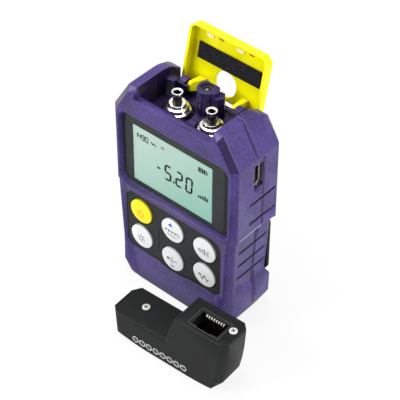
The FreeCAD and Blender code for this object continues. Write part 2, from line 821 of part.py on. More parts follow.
def hinge_hooks():
    """A boss and a claw on each side of the bay's back, which hold the cover's pins."""
    inner = ARM_X + ARM_WIDTH / 2 + HOOK_GAP
    outer = inner + HOOK_WIDTH
    wall_front = DEPTH - BAY_BACK_WALL
    axis = vec(inner, depth(HINGE_DEPTH), HINGE_Z)
    ring = rod(HOOK_RADIUS, axis, vec(1, 0, 0), HOOK_WIDTH)
    stem = box(inner, outer, depth(HINGE_DEPTH) - HOOK_RADIUS, depth(HINGE_DEPTH) + HOOK_RADIUS,
               BAY_FLOOR_Z, HINGE_Z)
    claw_back = depth(HINGE_DEPTH) - HOOK_RADIUS - CLAW_GAP
    claw_low = HINGE_Z + HOOK_RADIUS - 2 * CLAW_THICK
    claw = box(
        inner - CLAW_REACH, outer, claw_back - CLAW_THICK, claw_back, claw_low,
        HINGE_Z + HOOK_RADIUS + CLAW_THICK / 2,
    )
    bridge = box(
        inner, outer, claw_back - CLAW_THICK, depth(HINGE_DEPTH), HINGE_Z, HINGE_Z + HOOK_RADIUS,
    )
    bore = rod(PIN_RADIUS + PIN_CLEAR, vec(inner - 1, depth(HINGE_DEPTH), HINGE_Z), vec(1, 0, 0),
               PIN_REACH + HOOK_GAP + 1 + 0.2)
    right = fused([ring, stem, bridge, claw]).cut(bore)
    root = box(inner, outer, depth(wall_front), BACK, BAY_FLOOR_Z - 1, BAY_WALL_TOP_Z)
    right = right.fuse(root).removeSplitter()
    return [right, mirrored(right)]


# ---- display pieces --------------------------------------------------------------------
def lens_outline():
    """The outline shared by the display lens and the printed mask behind it."""
    inset = SILL_SLOPE_INSET + LENS_FIT
    half = SILL_OUTER_WIDTH / 2 - inset
    return chamfered_rectangle(half, DISPLAY_LOW_Z + inset, DISPLAY_TOP_Z - inset, DISPLAY_CORNER)


def display_lens():
    """The clear window over the whole display."""
    return prism_xz(lens_outline(), depth(SILL_SLOPE_DEPTH), depth(SILL_SLOPE_DEPTH + LENS_THICK))


def display_mask():
    """The dark printed film behind the lens, open over the display's active area."""
    y0 = depth(SILL_SLOPE_DEPTH + LENS_THICK)
    film = prism_xz(lens_outline(), y0, y0 + MASK_THICK)
    low = LCD_VIEW_LOW_Z
    half = LCD_VIEW_WIDTH / 2
    view = box(LCD_VIEW_X - half, LCD_VIEW_X + half, y0 - 1, y0 + 1, low, low + LCD_VIEW_HEIGHT)
    return film.cut(view)


def lcd_panel():
    """The liquid crystal panel, close behind the mask."""
    y0 = depth(SILL_SLOPE_DEPTH + LENS_THICK + MASK_THICK)
    return lcd_box(0.0, y0, y0 + LCD_THICK)


def backlight():
    """The light guide behind the panel, with feet that rest on the board."""
    y0 = SILL_SLOPE_DEPTH + LENS_THICK + MASK_THICK + LCD_THICK
    guide = lcd_box(-LCD_FIT, depth(y0), depth(y0 + BACKLIGHT_THICK))
    bounds = guide.BoundBox
    foot = 3.0
    low = BOARD_TOP_Z - 2 * foot
    feet = [
        box(x, x + foot, depth(y0 + BACKLIGHT_THICK), depth(BOARD_FRONT), low, low + foot)
        for x in (bounds.XMin + foot, LCD_VIEW_X - foot / 2, bounds.XMax - 2 * foot)
    ]
    return fused([guide] + feet)


# ---- keypad pieces ---------------------------------------------------------------------
def keypad_panel():
    """The charcoal panel around the keys."""
    panel = keypad_outline(depth(PANEL_SINK), 0.0).extrude(vec(0, PANEL_THICK, 0))
    holes = [
        rod(KEY_RADIUS + KEY_GAP, vec(x, depth(-1), z), vec(0, 1, 0), PANEL_THICK + 2)
        for x, z in key_places().values()
    ]
    return panel.cut(holes)


def key_button(x, z):
    """A round key: a domed cap, a flange behind the face and a stem down to its switch."""
    stem_end = BOARD_FRONT - SWITCH_THICK - KEY_TRAVEL - STEM_CLEAR
    crown = KEY_DOME
    radius = (KEY_RADIUS ** 2 + crown ** 2) / (2 * crown)
    length = KEY_FLANGE_Y + KEY_FLANGE_THICK + KEY_TRAVEL + 0.4
    cap = rod(KEY_RADIUS, vec(x, depth(-KEY_PROUD - crown), z), vec(0, 1, 0), length)
    ball = Part.makeSphere(radius, vec(x, depth(radius - KEY_PROUD - crown), z))
    cap = cap.common(ball)
    start = KEY_FLANGE_Y + KEY_TRAVEL / 2
    flange = rod(KEY_RADIUS + KEY_FLANGE, vec(x, depth(start), z), vec(0, 1, 0), KEY_FLANGE_THICK)
    body = rod(KEY_RADIUS, vec(x, depth(KEY_DOME), z), vec(0, 1, 0), start + KEY_FLANGE_THICK - KEY_DOME)
    stem = rod(KEY_STEM_RADIUS, vec(x, depth(start), z), vec(0, 1, 0), stem_end - start)
    return fused([cap.common(box(x - KEY_RADIUS, x + KEY_RADIUS, depth(-2), depth(KEY_DOME + 0.1),
                                 z - KEY_RADIUS, z + KEY_RADIUS)), body, flange, stem])


def key_switches():
    """One tactile switch on the board under each key."""
    half = SWITCH_SIZE / 2
    switches = []
    for x, z in key_places().values():
        base = box(x - half, x + half, depth(BOARD_FRONT - SWITCH_THICK / 2), depth(BOARD_FRONT),
                   z - half, z + half)
        plunger = rod(KEY_STEM_RADIUS, vec(x, depth(BOARD_FRONT - SWITCH_THICK), z), vec(0, 1, 0),
                      SWITCH_THICK / 2)
        switches.append(base.fuse(plunger).removeSplitter())
    return Part.makeCompound(switches)


# ---- board and power -------------------------------------------------------------------
def main_board():
    """The circuit board, with a tab that carries the charging socket."""
    half = BOARD_WIDTH / 2
    points = [
        (-half, BOARD_LOW_Z),
        (half, BOARD_LOW_Z),
        (half, BOARD_TOP_Z - 2 * POST_RADIUS),
        (half, BOARD_TOP_Z),
        (BOARD_TAB_END, BOARD_TOP_Z),
        (BOARD_TAB_END, BOARD_TAB_TOP_Z),
        (BOARD_TAB_X, BOARD_TAB_TOP_Z),
        (BOARD_TAB_X, BOARD_TOP_Z),
        (-half, BOARD_TOP_Z),
    ]
    return prism_xz(points, depth(BOARD_FRONT), depth(BOARD_FRONT + BOARD_THICK))


def battery_pack():
    """The rechargeable pack behind the board, between the board and its door."""
    y0 = depth(BOARD_FRONT + BOARD_THICK + BATTERY_BOARD_GAP)
    half = BATTERY_WIDTH / 2
    low = BATTERY_MIDDLE_Z - BATTERY_HEIGHT / 2
    pack = box(-half, half, y0, y0 + BATTERY_THICK, low, low + BATTERY_HEIGHT)
    long_edges = edges_where(pack, lambda c, b: b.XLength > BATTERY_WIDTH - 1)
    return pack.makeFillet(BATTERY_THICK / 4, long_edges)


def battery_door():
    """The black back plate, stood off the waist, with a plug that closes the battery opening."""
    face = depth(WAIST_BACK_DEPTH)
    half = DOOR_PLATE_WIDTH / 2
    low = BATTERY_MIDDLE_Z - DOOR_PLATE_HEIGHT / 2
    outer = face + DOOR_STAND_OFF + DOOR_PLATE_THICK
    plate = box(-half, half, face + DOOR_STAND_OFF, outer, low, low + DOOR_PLATE_HEIGHT)
    corners = edges_where(plate, lambda c, b: b.YLength > DOOR_PLATE_THICK / 2)
    plate = plate.makeFillet(2.0, corners)
    rim = edges_where(plate, lambda c, b: abs(c.y - outer) < 1e-6)
    plate = plate.makeChamfer(0.4, rim)
    plug_half = BATTERY_DOOR_WIDTH / 2 - DOOR_PLUG_FIT
    plug_low = BATTERY_MIDDLE_Z - BATTERY_DOOR_HEIGHT / 2 + DOOR_PLUG_FIT
    plug_top = BATTERY_MIDDLE_Z + BATTERY_DOOR_HEIGHT / 2 - DOOR_PLUG_FIT
    plug = box(-plug_half, plug_half, face - DOOR_PLUG_THICK, face + DOOR_STAND_OFF, plug_low, plug_top)
    feet = [
        rod(2.2, vec(side * DOOR_SCREW_X, face, BATTERY_MIDDLE_Z), vec(0, 1, 0), DOOR_STAND_OFF)
        for side in (-1, 1)
    ]
    door = fused([plate, plug] + feet)
    holes = []
    for side in (-1, 1):
        start = vec(side * DOOR_SCREW_X, face - 1, BATTERY_MIDDLE_Z)
        holes.append(rod(DOOR_SCREW_RADIUS + SCREW_FIT, start, vec(0, 1, 0), WALL + DOOR_PLATE_THICK))
        head = vec(side * DOOR_SCREW_X, outer - DOOR_SCREW_HEAD_THICK, BATTERY_MIDDLE_Z)
        holes.append(rod(DOOR_SCREW_HEAD_RADIUS + SCREW_FIT, head, vec(0, 1, 0), 2))
    return door.cut(holes)


def door_screws():
    """The two small screws of the battery door."""
    outer = depth(WAIST_BACK_DEPTH) + DOOR_STAND_OFF + DOOR_PLATE_THICK
    screws = []
    for side in (-1, 1):
        tip = vec(side * DOOR_SCREW_X, outer - DOOR_SCREW_LENGTH, BATTERY_MIDDLE_Z)
        shank = rod(DOOR_SCREW_RADIUS, tip, vec(0, 1, 0), DOOR_SCREW_LENGTH)
        seat = vec(side * DOOR_SCREW_X, outer - DOOR_SCREW_HEAD_THICK, BATTERY_MIDDLE_Z)
        head = rod(DOOR_SCREW_HEAD_RADIUS, seat, vec(0, 1, 0), DOOR_SCREW_HEAD_THICK)
        screws.append(shank.fuse(head).removeSplitter())
    return Part.makeCompound(screws)


def case_screws():
    """The four screws that close the two shells."""
    screws = []
    for x, z in post_places():
        tip = parting_at(z) - SCREW_REACH
        seat = screw_seat(z)
        shank = rod(SCREW_RADIUS, vec(x, depth(tip), z), vec(0, 1, 0), seat - tip)
        head = rod(SCREW_HEAD_RADIUS, vec(x, depth(seat), z), vec(0, 1, 0), SCREW_HEAD_THICK)
        screws.append(shank.fuse(head).removeSplitter())
    return Part.makeCompound(screws)


# ---- charging socket -------------------------------------------------------------------
def usb_mouth():
    """The X of the charging socket's mouth."""
    return WIDTH / 2 - USB_MOUTH_SINK


def usb_shell():
    """The drawn metal shell of the charging socket, closed at the back, on the board's tab."""
    mouth = usb_mouth()
    back = mouth - USB_SHELL_DEPTH
    outer = stadium_x(USB_SHELL_LENGTH, USB_SHELL_WIDTH, back, mouth)
    inner = stadium_x(
        USB_SHELL_LENGTH - 2 * USB_SHELL_WALL, USB_SHELL_WIDTH - 2 * USB_SHELL_WALL,
        back + USB_SHELL_WALL, mouth + 1,
    )
    foot = box(
        back, back + 4, depth(BOARD_FRONT + BOARD_THICK), depth(USB_SLOT_MIDDLE),
        USB_MIDDLE_Z - 2, USB_MIDDLE_Z + 2,
    )
    return fused([outer, foot]).cut(inner)


def usb_tongue():
    """The contact tongue inside the charging socket."""
    mouth = usb_mouth()
    back = mouth - USB_SHELL_DEPTH + USB_SHELL_WALL
    middle = depth(USB_SLOT_MIDDLE)
    base = stadium_x(
        USB_SHELL_LENGTH - 2 * USB_SHELL_WALL, USB_SHELL_WIDTH - 2 * USB_SHELL_WALL,
        back, back + USB_TONGUE_BASE,
    )
    half = USB_TONGUE_THICK / 2
    blade = box(
        back, mouth - 0.6, middle - half, middle + half,
        USB_MIDDLE_Z - USB_TONGUE_LENGTH / 2, USB_MIDDLE_Z + USB_TONGUE_LENGTH / 2,
    )
    return fused([base, blade])


# ---- optical ports ---------------------------------------------------------------------
def turned(x, radii_heights, z0):
    """A turned piece on a port's axis: a stack of rings, each a radius and a height."""
    rings = []
    z = z0
    for radius, height in radii_heights:
        rings.append(rod(radius, vec(x, depth(PORT_DEPTH), z), vec(0, 0, 1), height))
        z += height
    return fused(rings)


def port_nut(x):
    """The plated flange, hexagon shoulder and collar that hold a ferrule sleeve."""
    seat = BAY_FLOOR_Z - PORT_WELL_DEPTH
    stack = [(FLANGE_RADIUS, FLANGE_HEIGHT), (NUT_RADIUS, NUT_HEIGHT)]
    stack.append((NUT_COLLAR_RADIUS, NUT_COLLAR_HEIGHT))
    nut = turned(x, stack, seat)
    rims = edges_where(nut, lambda c, b: b.ZLength < 1e-6 and c.z > seat + FLANGE_HEIGHT / 2)
    nut = nut.makeChamfer(0.2, [edge for edge in rims if edge.Curve.Radius > NUT_COLLAR_RADIUS - 0.01])
    bore = rod(BARREL_RADIUS, vec(x, depth(PORT_DEPTH), seat - 1), vec(0, 0, 1), HEIGHT)
    return nut.cut(bore)


def port_sleeve(x):
    """The ferrule sleeve: a barrel through the nut, a slim neck and a bright end ring."""
    seat = BAY_FLOOR_Z - PORT_WELL_DEPTH
    ring_low = PORT_TOP_Z - SLEEVE_RING_HEIGHT
    nut_top = seat + FLANGE_HEIGHT + NUT_HEIGHT + NUT_COLLAR_HEIGHT
    stack = [
        (BARREL_RADIUS, nut_top - seat),
        (SLEEVE_RADIUS, ring_low - nut_top),
        (SLEEVE_RING_RADIUS, SLEEVE_RING_HEIGHT),
    ]
    sleeve = turned(x, stack, seat)
    bore = rod(FERRULE_BORE_RADIUS, vec(x, depth(PORT_DEPTH), seat - 1), vec(0, 0, 1), HEIGHT)
    sleeve = sleeve.cut(bore)
    mouth = edges_where(
        sleeve, lambda c, b: abs(c.z - PORT_TOP_Z) < 1e-6 and b.XLength < 2 * SLEEVE_RADIUS
    )
    return sleeve.makeChamfer(0.25, mouth)


def port_module(x, window):
    """The optical module below a port: a can with a window or a lens cap at its top."""
    seat = BAY_FLOOR_Z - PORT_WELL_DEPTH
    can = rod(MODULE_RADIUS, vec(x, depth(PORT_DEPTH), seat - MODULE_LENGTH), vec(0, 0, 1), MODULE_LENGTH)
    well = rod(window, vec(x, depth(PORT_DEPTH), seat - 0.6), vec(0, 0, 1), 1.0)
    return can.cut(well)


# ---- torch -----------------------------------------------------------------------------
def torch_outline(radius, z):
    """The torch post seen from above: round in front and squared off behind."""
    middle = depth(TORCH_DEPTH)
    corner = radius * 0.45
    edges = [
        Part.Arc(vec(-radius, middle, z), vec(0, middle - radius, z), vec(radius, middle, z)).toShape(),
        Part.makeLine(vec(radius, middle, z), vec(radius, middle + TORCH_BACK - corner, z)),
        Part.makeLine(
            vec(radius, middle + TORCH_BACK - corner, z), vec(radius - corner, middle + TORCH_BACK, z)
        ),
        Part.makeLine(
            vec(radius - corner, middle + TORCH_BACK, z), vec(-radius + corner, middle + TORCH_BACK, z)
        ),
        Part.makeLine(
            vec(-radius + corner, middle + TORCH_BACK, z), vec(-radius, middle + TORCH_BACK - corner, z)
        ),
        Part.makeLine(vec(-radius, middle + TORCH_BACK - corner, z), vec(-radius, middle, z)),
    ]
    return Part.Face(Part.Wire(edges))


def torch_housing():
    """The torch post: a plain head on a ribbed neck, bored for the lamp."""
    neck_top = TORCH_TOP_Z - TORCH_HEAD
    neck_radius = TORCH_RADIUS - TORCH_NECK
    neck = torch_outline(neck_radius, BAY_FLOOR_Z).extrude(vec(0, 0, neck_top - BAY_FLOOR_Z))
    head = torch_outline(TORCH_RADIUS, neck_top).extrude(vec(0, 0, TORCH_HEAD))
    rims = edges_where(head, lambda c, b: abs(c.z - TORCH_TOP_Z) < 1e-6)
    head = head.makeChamfer(0.3, rims)
    ribs = []
    for index in range(TORCH_RIBS):
        angle = math.pi * (index + 0.5) / TORCH_RIBS
        x = -neck_radius * math.cos(angle)
        y = depth(TORCH_DEPTH) - neck_radius * math.sin(angle)
        ribs.append(rod(TORCH_RIB_RADIUS, vec(x, y, BAY_FLOOR_Z), vec(0, 0, 1), neck_top - BAY_FLOOR_Z))
    post = fused([neck, head] + ribs)
    bore = rod(
        TORCH_BORE_RADIUS, vec(0, depth(TORCH_DEPTH), TORCH_TOP_Z - TORCH_BORE_DEPTH), vec(0, 0, 1),
        TORCH_BORE_DEPTH + 1,
    )
    return post.cut(bore)


def torch_lamp():
    """The clear lamp in the torch's bore: a flange, a body and a domed top."""
    floor = TORCH_TOP_Z - TORCH_BORE_DEPTH
    top = TORCH_TOP_Z - TORCH_LENS_SINK
    middle = depth(TORCH_DEPTH)
    flange = rod(TORCH_BORE_RADIUS, vec(0, middle, floor), vec(0, 0, 1), 1.0)
    body = rod(LED_BODY_RADIUS, vec(0, middle, floor), vec(0, 0, 1), top - LED_BODY_RADIUS - floor)
    dome = Part.makeSphere(LED_BODY_RADIUS, vec(0, middle, top - LED_BODY_RADIUS))
    ring = rod(TORCH_BORE_RADIUS, vec(0, middle, top - 1.0), vec(0, 0, 1), 0.8)
    ring = ring.cut(rod(LED_BODY_RADIUS - 0.2, vec(0, middle, top - 2), vec(0, 0, 1), 3))
    return fused([flange, body, dome, ring])


# ---- port cover ------------------------------------------------------------------------
def cover_sides(inset):
    """The cover's closed plan outline, drawn in by an inset on its front and sides."""
    half = COVER_WIDTH / 2 - inset
    front = depth(HINGE_DEPTH) - COVER_LENGTH_FRONT + inset
    back = depth(HINGE_DEPTH) + COVER_OVERHANG
    corner = max(COVER_CORNER_RADIUS - inset, 0.4)
    return [
        (-half, back),
        (-half, front + corner),
        (-half + corner, front),
        (half - corner, front),
        (half, front + corner),
        (half, back),
    ]


def cover_closed():
    """The port cover as it lies when closed: a plate, a rim, two arms and their hinge pins."""
    outer = HINGE_Z + COVER_OUTER
    inner = outer - COVER_PLATE
    low = inner - COVER_RIM
    plate = prism_xy(cover_sides(0.0), low, outer)
    top_edges = edges_where(plate, lambda c, b: abs(c.z - outer) < 1e-6)
    plate = plate.makeChamfer(0.5, top_edges)
    room = prism_xy(cover_sides(COVER_RIM_WALL), low - 1, inner)
    room_back = box(
        -COVER_WIDTH / 2 + COVER_RIM_WALL, COVER_WIDTH / 2 - COVER_RIM_WALL, depth(HINGE_DEPTH),
        BACK + 2, low - 1, inner,
    )
    shell = plate.cut([room, room_back])
    parts = [shell] + cover_arm() + [mirrored(piece) for piece in cover_arm()] + cover_catches(inner)
    shell = fused(parts)
    return shell.cut(torch_hole())


def cover_arm():
    """The right hinge arm: a tapered web, a knuckle and a pin that points outwards."""
    x0 = ARM_X - ARM_WIDTH / 2
    inner = HINGE_Z + COVER_OUTER - COVER_PLATE
    y = depth(HINGE_DEPTH)
    web = prism_yz(
        [
            (y - ARM_ROOT, inner + 0.1),
            (y - KNUCKLE_RADIUS, HINGE_Z),
            (y, HINGE_Z - 0.2),
            (y + KNUCKLE_RADIUS, HINGE_Z),
            (y + COVER_OVERHANG - 0.05, inner + 0.1),
        ],
        x0, x0 + ARM_WIDTH,
    )
    knuckle = rod(KNUCKLE_RADIUS, vec(x0, y, HINGE_Z), vec(1, 0, 0), ARM_WIDTH)
    pin = rod(PIN_RADIUS, vec(x0, y, HINGE_Z), vec(1, 0, 0), ARM_WIDTH + HOOK_GAP + PIN_REACH)
    return [web, knuckle, pin]


def cover_catches(inner):
    """Two small catch ribs inside the cover's front edge."""
    front = depth(HINGE_DEPTH) - COVER_LENGTH_FRONT + COVER_RIM_WALL
    return [
        box(
            x - CATCH_WIDTH / 2, x + CATCH_WIDTH / 2, front - 0.1, front + 0.8,
            inner - CATCH_HEIGHT, inner + 0.1,
        )
        for x in (-CATCH_X, CATCH_X)
    ]


def torch_hole():
    """The long hole in the cover that the torch stands through when the cover is shut."""
    radius = HOLE_WIDTH / 2
    reach = (HOLE_LENGTH - HOLE_WIDTH) / 2
    middle = depth(TORCH_DEPTH) - 0.3
    low = HINGE_Z
    height = COVER_OUTER + 2
    ends = [rod(radius, vec(0, middle + side * reach, low), vec(0, 0, 1), height) for side in (-1, 1)]
    return fused(ends + [box(-radius, radius, middle - reach, middle + reach, low, low + height)])


def cover_foam():
    """The foam strip glued inside the cover, which closes the ports."""
    inner = HINGE_Z + COVER_OUTER - COVER_PLATE
    half = FOAM_WIDTH / 2
    return box(
        -half, half, depth(FOAM_START), depth(FOAM_START + FOAM_LENGTH), inner - FOAM_THICK, inner
    )


def opened(shape):
    """A cover piece turned about the hinge from closed to its open stop."""
    turned_piece = shape.copy()
    turned_piece.rotate(vec(0, depth(HINGE_DEPTH), HINGE_Z), vec(1, 0, 0), -COVER_OPEN_DEG)
    return turned_piece


# ---- remote module ---------------------------------------------------------------------
def remote_placed(shape):
    """A remote piece moved from its own middle to where the remote stands."""
    moved = shape.copy()
    moved.rotate(vec(0, 0, 0), vec(0, 0, 1), REMOTE_YAW)
    moved.translate(vec(REMOTE_X, REMOTE_Y, 0))
    return moved


def remote_profile(inset, top_drop, y0, y1):
    """The remote from the front: a low left part, a sloped step and a high right part."""
    half = REMOTE_LENGTH / 2 - inset
    low = REMOTE_LOW_TOP - top_drop
    high = REMOTE_HIGH_TOP - top_drop
    slope = (REMOTE_STEP_TOP_X - REMOTE_STEP_FOOT_X) / (REMOTE_HIGH_TOP - REMOTE_LOW_TOP)
    foot_x = REMOTE_STEP_FOOT_X + inset * 1.05 - top_drop * slope
    top_x = REMOTE_STEP_TOP_X + inset * 1.05 - top_drop * slope
    flat = REMOTE_FOOT_FLAT / 2
    end = half - REMOTE_END_INSET
    middle = (flat + end) / 2
    sag = inset + REMOTE_FOOT_RISE / 4
    rise = inset + REMOTE_FOOT_RISE
    line = Part.makeLine
    edges = [
        line(vec(-flat, y0, inset), vec(flat, y0, inset)),
        Part.Arc(vec(flat, y0, inset), vec(middle, y0, sag), vec(end, y0, rise)).toShape(),
        line(vec(end, y0, rise), vec(half, y0, inset + REMOTE_END_RISE)),
        line(vec(half, y0, inset + REMOTE_END_RISE), vec(half, y0, high)),
        line(vec(half, y0, high), vec(top_x, y0, high)),
        line(vec(top_x, y0, high), vec(foot_x, y0, low)),
        line(vec(foot_x, y0, low), vec(-half, y0, low)),
        line(vec(-half, y0, low), vec(-half, y0, inset + REMOTE_END_RISE)),
        line(vec(-half, y0, inset + REMOTE_END_RISE), vec(-end, y0, rise)),
        Part.Arc(vec(-end, y0, rise), vec(-middle, y0, sag), vec(-flat, y0, inset)).toShape(),
    ]
    return Part.Face(Part.Wire(edges)).extrude(vec(0, y1 - y0, 0))


def remote_plan(inset, z0, z1):
    """The remote seen from above: a long block with its four upright corners cut off."""
    half = REMOTE_LENGTH / 2 - inset
    deep = REMOTE_DEPTH / 2 - inset
    cut = REMOTE_CORNER - inset * 0.6
    right = [(half - cut, -deep), (half, -deep + cut), (half, deep - cut), (half - cut, deep)]
    return prism_xy(both_sides(right), z0, z1)


def remote_block(inset, top_drop):
    """The remote's outer block, or the room inside it."""
    deep = REMOTE_DEPTH / 2
    return remote_profile(inset, top_drop, -deep, deep).common(remote_plan(inset, -1.0, REMOTE_HIGH_TOP + 1))


def lid_plate(x0, x1, grow, top, thick):
    """A flat plate let into one of the remote's upper faces."""
    plan = remote_plan(REMOTE_LID_INSET - grow, top - thick, top)
    return plan.common(box(x0 - grow, x1 + grow, -REMOTE_DEPTH, REMOTE_DEPTH, 0, REMOTE_HIGH_TOP + 2))


def low_lid_plate(grow, rise):
    """The plate on the low side, from the left end to the foot of the step."""
    end = REMOTE_STEP_FOOT_X - REMOTE_LID_STEP_GAP
    top = REMOTE_LOW_TOP - REMOTE_LID_SINK + rise
    return lid_plate(-REMOTE_LENGTH, end, grow, top, REMOTE_LID_THICK + rise)


def high_lid_plate(grow, rise):
    """The plate on the high side, from the top of the step to the right end."""
    start = REMOTE_STEP_TOP_X + REMOTE_LID_INSET
    top = REMOTE_HIGH_TOP - REMOTE_LID_SINK + rise
    return lid_plate(start, REMOTE_LENGTH, grow, top, REMOTE_LID_THICK + rise)


def jack_outer(grow, z0, z1):
    """The shielded jack's outer block."""
    half = JACK_OPENING / 2 + JACK_BODY_WALL + JACK_SHIELD_WALL + grow
    deep = JACK_OPENING_DEPTH / 2 + JACK_BODY_WALL + JACK_SHIELD_WALL + grow
    return box(JACK_X - half, JACK_X + half, JACK_Y - deep, JACK_Y + deep, z0, z1)


def jack_inner(grow, z0, z1):
    """The jack's insert, inside the shield."""
    half = JACK_OPENING / 2 + JACK_BODY_WALL + grow
    deep = JACK_OPENING_DEPTH / 2 + JACK_BODY_WALL + grow
    return box(JACK_X - half, JACK_X + half, JACK_Y - deep, JACK_Y + deep, z0, z1)


def jack_top():
    """The height of the jack's mouth."""
    return REMOTE_HIGH_TOP + JACK_PROUD


def jack_bottom():
    """The height of the jack's closed end, on the board."""
    return jack_top() - JACK_BODY_LENGTH


def remote_case():
    """The lower shell of the remote: outer walls, a floor and two screw posts."""
    block = remote_block(0.0, 0.0)
    rims = edges_where(block, lambda c, b: c.z > REMOTE_LOW_TOP - 0.01 and b.ZLength < 1e-6)
    block = block.makeChamfer(REMOTE_EDGE, rims)
    room = remote_block(REMOTE_WALL, REMOTE_LID_THICK + REMOTE_LID_SINK)
    shell = block.cut([room, low_lid_plate(REMOTE_LID_GAP, 1.0), high_lid_plate(REMOTE_LID_GAP, 1.0)])
    posts = [post.common(remote_block(REMOTE_WALL / 2, 0.0)) for post in remote_posts()]
    shell = shell.fuse(posts).removeSplitter()
    return shell.cut(remote_screw_bores() + led_holes(0.05))


def remote_posts():
    """The posts under the two lid screws."""
    posts = []
    for x, top in REMOTE_SCREWS:
        low = REMOTE_WALL
        height = top - REMOTE_LID_SINK - REMOTE_LID_THICK - low
        posts.append(rod(REMOTE_POST_RADIUS, vec(x, REMOTE_SCREW_Y, low), vec(0, 0, 1), height))
    return posts


def remote_screw_bores():
    """The blind bores in those posts."""
    return [
        rod(REMOTE_SCREW_RADIUS + SCREW_FIT, vec(x, REMOTE_SCREW_Y, top - REMOTE_SCREW_LENGTH - 0.6),
            vec(0, 0, 1), REMOTE_SCREW_LENGTH)
        for x, top in REMOTE_SCREWS
    ]


def remote_lid(plate, side):
    """A lid with its screw hole and, on the high side, the jack's opening."""
    x, top = REMOTE_SCREWS[side]
    seat = top - REMOTE_LID_SINK - REMOTE_SCREW_HEAD_THICK / 2
    cuts = [
        jack_outer(0.1, 0.0, REMOTE_HIGH_TOP + 2),
        rod(REMOTE_SCREW_RADIUS + SCREW_FIT, vec(x, REMOTE_SCREW_Y, top - 4), vec(0, 0, 1), 6),
        rod(REMOTE_SCREW_HEAD + SCREW_FIT, vec(x, REMOTE_SCREW_Y, seat), vec(0, 0, 1), 6),
    ]
    return plate.cut(cuts)


def remote_screws():
    """The two pan head screws of the lid."""
    screws = []
    for x, top in REMOTE_SCREWS:
        seat = top - REMOTE_LID_SINK - REMOTE_SCREW_HEAD_THICK / 2
        shank = rod(REMOTE_SCREW_RADIUS, vec(x, REMOTE_SCREW_Y, seat - REMOTE_SCREW_LENGTH), vec(0, 0, 1),
                    REMOTE_SCREW_LENGTH)
        head = rod(REMOTE_SCREW_HEAD, vec(x, REMOTE_SCREW_Y, seat), vec(0, 0, 1), REMOTE_SCREW_HEAD_THICK)
        rim = edges_where(head, lambda c, b: abs(c.z - seat - REMOTE_SCREW_HEAD_THICK) < 1e-6)
        head = head.makeFillet(0.25, rim)
        screws.append(shank.fuse(head).removeSplitter())
    return Part.makeCompound(screws)


def jack_shield():
    """The folded metal shield around the jack."""
    outer = jack_outer(0.0, jack_bottom(), jack_top())
    return outer.cut(jack_inner(0.0, jack_bottom() - 1, jack_top() + 1))


def jack_insert():
    """The jack's black insert, open at the top for a plug and its latch."""
    low = jack_bottom()
    top = jack_top() - 0.2
    block = jack_inner(0.0, low, top)
    half = JACK_OPENING / 2
    deep = JACK_OPENING_DEPTH / 2
    room = box(JACK_X - half, JACK_X + half, JACK_Y - deep, JACK_Y + deep, top - JACK_PLUG_DEPTH, top + 1)
    latch = box(
        JACK_X - JACK_LATCH_WIDTH / 2, JACK_X + JACK_LATCH_WIDTH / 2,
        JACK_Y - deep - JACK_LATCH_DEPTH, JACK_Y - deep + 1, top - JACK_PLUG_DEPTH, top + 1,
    )
    return block.cut([room, latch])


def jack_contacts():
    """The eight spring contacts along the jack's back wall."""
    top = jack_top() - JACK_CONTACT_SINK
    wall = JACK_Y + JACK_OPENING_DEPTH / 2
    half = JACK_CONTACT_WIDTH / 2
    first = JACK_X - JACK_CONTACT_PITCH * (JACK_CONTACTS - 1) / 2
    wires = []
    for index in range(JACK_CONTACTS):
        x = first + index * JACK_CONTACT_PITCH
        outline = [
            (wall, top),
            (wall, top - JACK_CONTACT_LENGTH),
            (wall - JACK_CONTACT_BULGE, top - JACK_CONTACT_LENGTH),
            (wall - JACK_CONTACT_BULGE, top - JACK_CONTACT_LENGTH + JACK_CONTACT_WIDTH),
            (wall - JACK_CONTACT_WIDTH, top - JACK_CONTACT_WIDTH),
            (wall - JACK_CONTACT_WIDTH, top),
        ]
        wires.append(prism_yz(outline, x - half, x + half))
    return Part.makeCompound(wires)


def remote_board():
    """The remote's board, which carries the jack and the lamps, on the two screw posts."""
    z0 = jack_bottom() - REMOTE_BOARD_THICK
    gap = REMOTE_WALL + 0.3
    board = remote_plan(gap, z0, z0 + REMOTE_BOARD_THICK)
    right_part = box(REMOTE_STEP_FOOT_X + 2 * REMOTE_WALL, REMOTE_LENGTH, -REMOTE_DEPTH, REMOTE_DEPTH,
                     0, REMOTE_HIGH_TOP)
    board = board.common(right_part)
    return board.cut([rod(REMOTE_POST_RADIUS + 0.05, vec(REMOTE_SCREWS[1][0], REMOTE_SCREW_Y, 0),
                          vec(0, 0, 1), REMOTE_HIGH_TOP)])


def led_places():
    """The X of the eight lamps in the remote's front wall."""
    return [LED_FIRST_X + index * LED_PITCH for index in range(LED_COUNT)]


def led_holes(grow):
    """The holes in the front wall for the lamps."""
    face = -REMOTE_DEPTH / 2
    return [
        rod(LED_RADIUS + grow, vec(x, face - 1, LED_Z), vec(0, 1, 0), REMOTE_WALL + 2)
        for x in led_places()
    ]


def remote_leds():
    """The eight indicator lamps."""
    face = -REMOTE_DEPTH / 2
    return Part.makeCompound(
        [rod(LED_RADIUS, vec(x, face - LED_PROUD, LED_Z), vec(0, 1, 0), LED_LENGTH) for x in led_places()]
    )


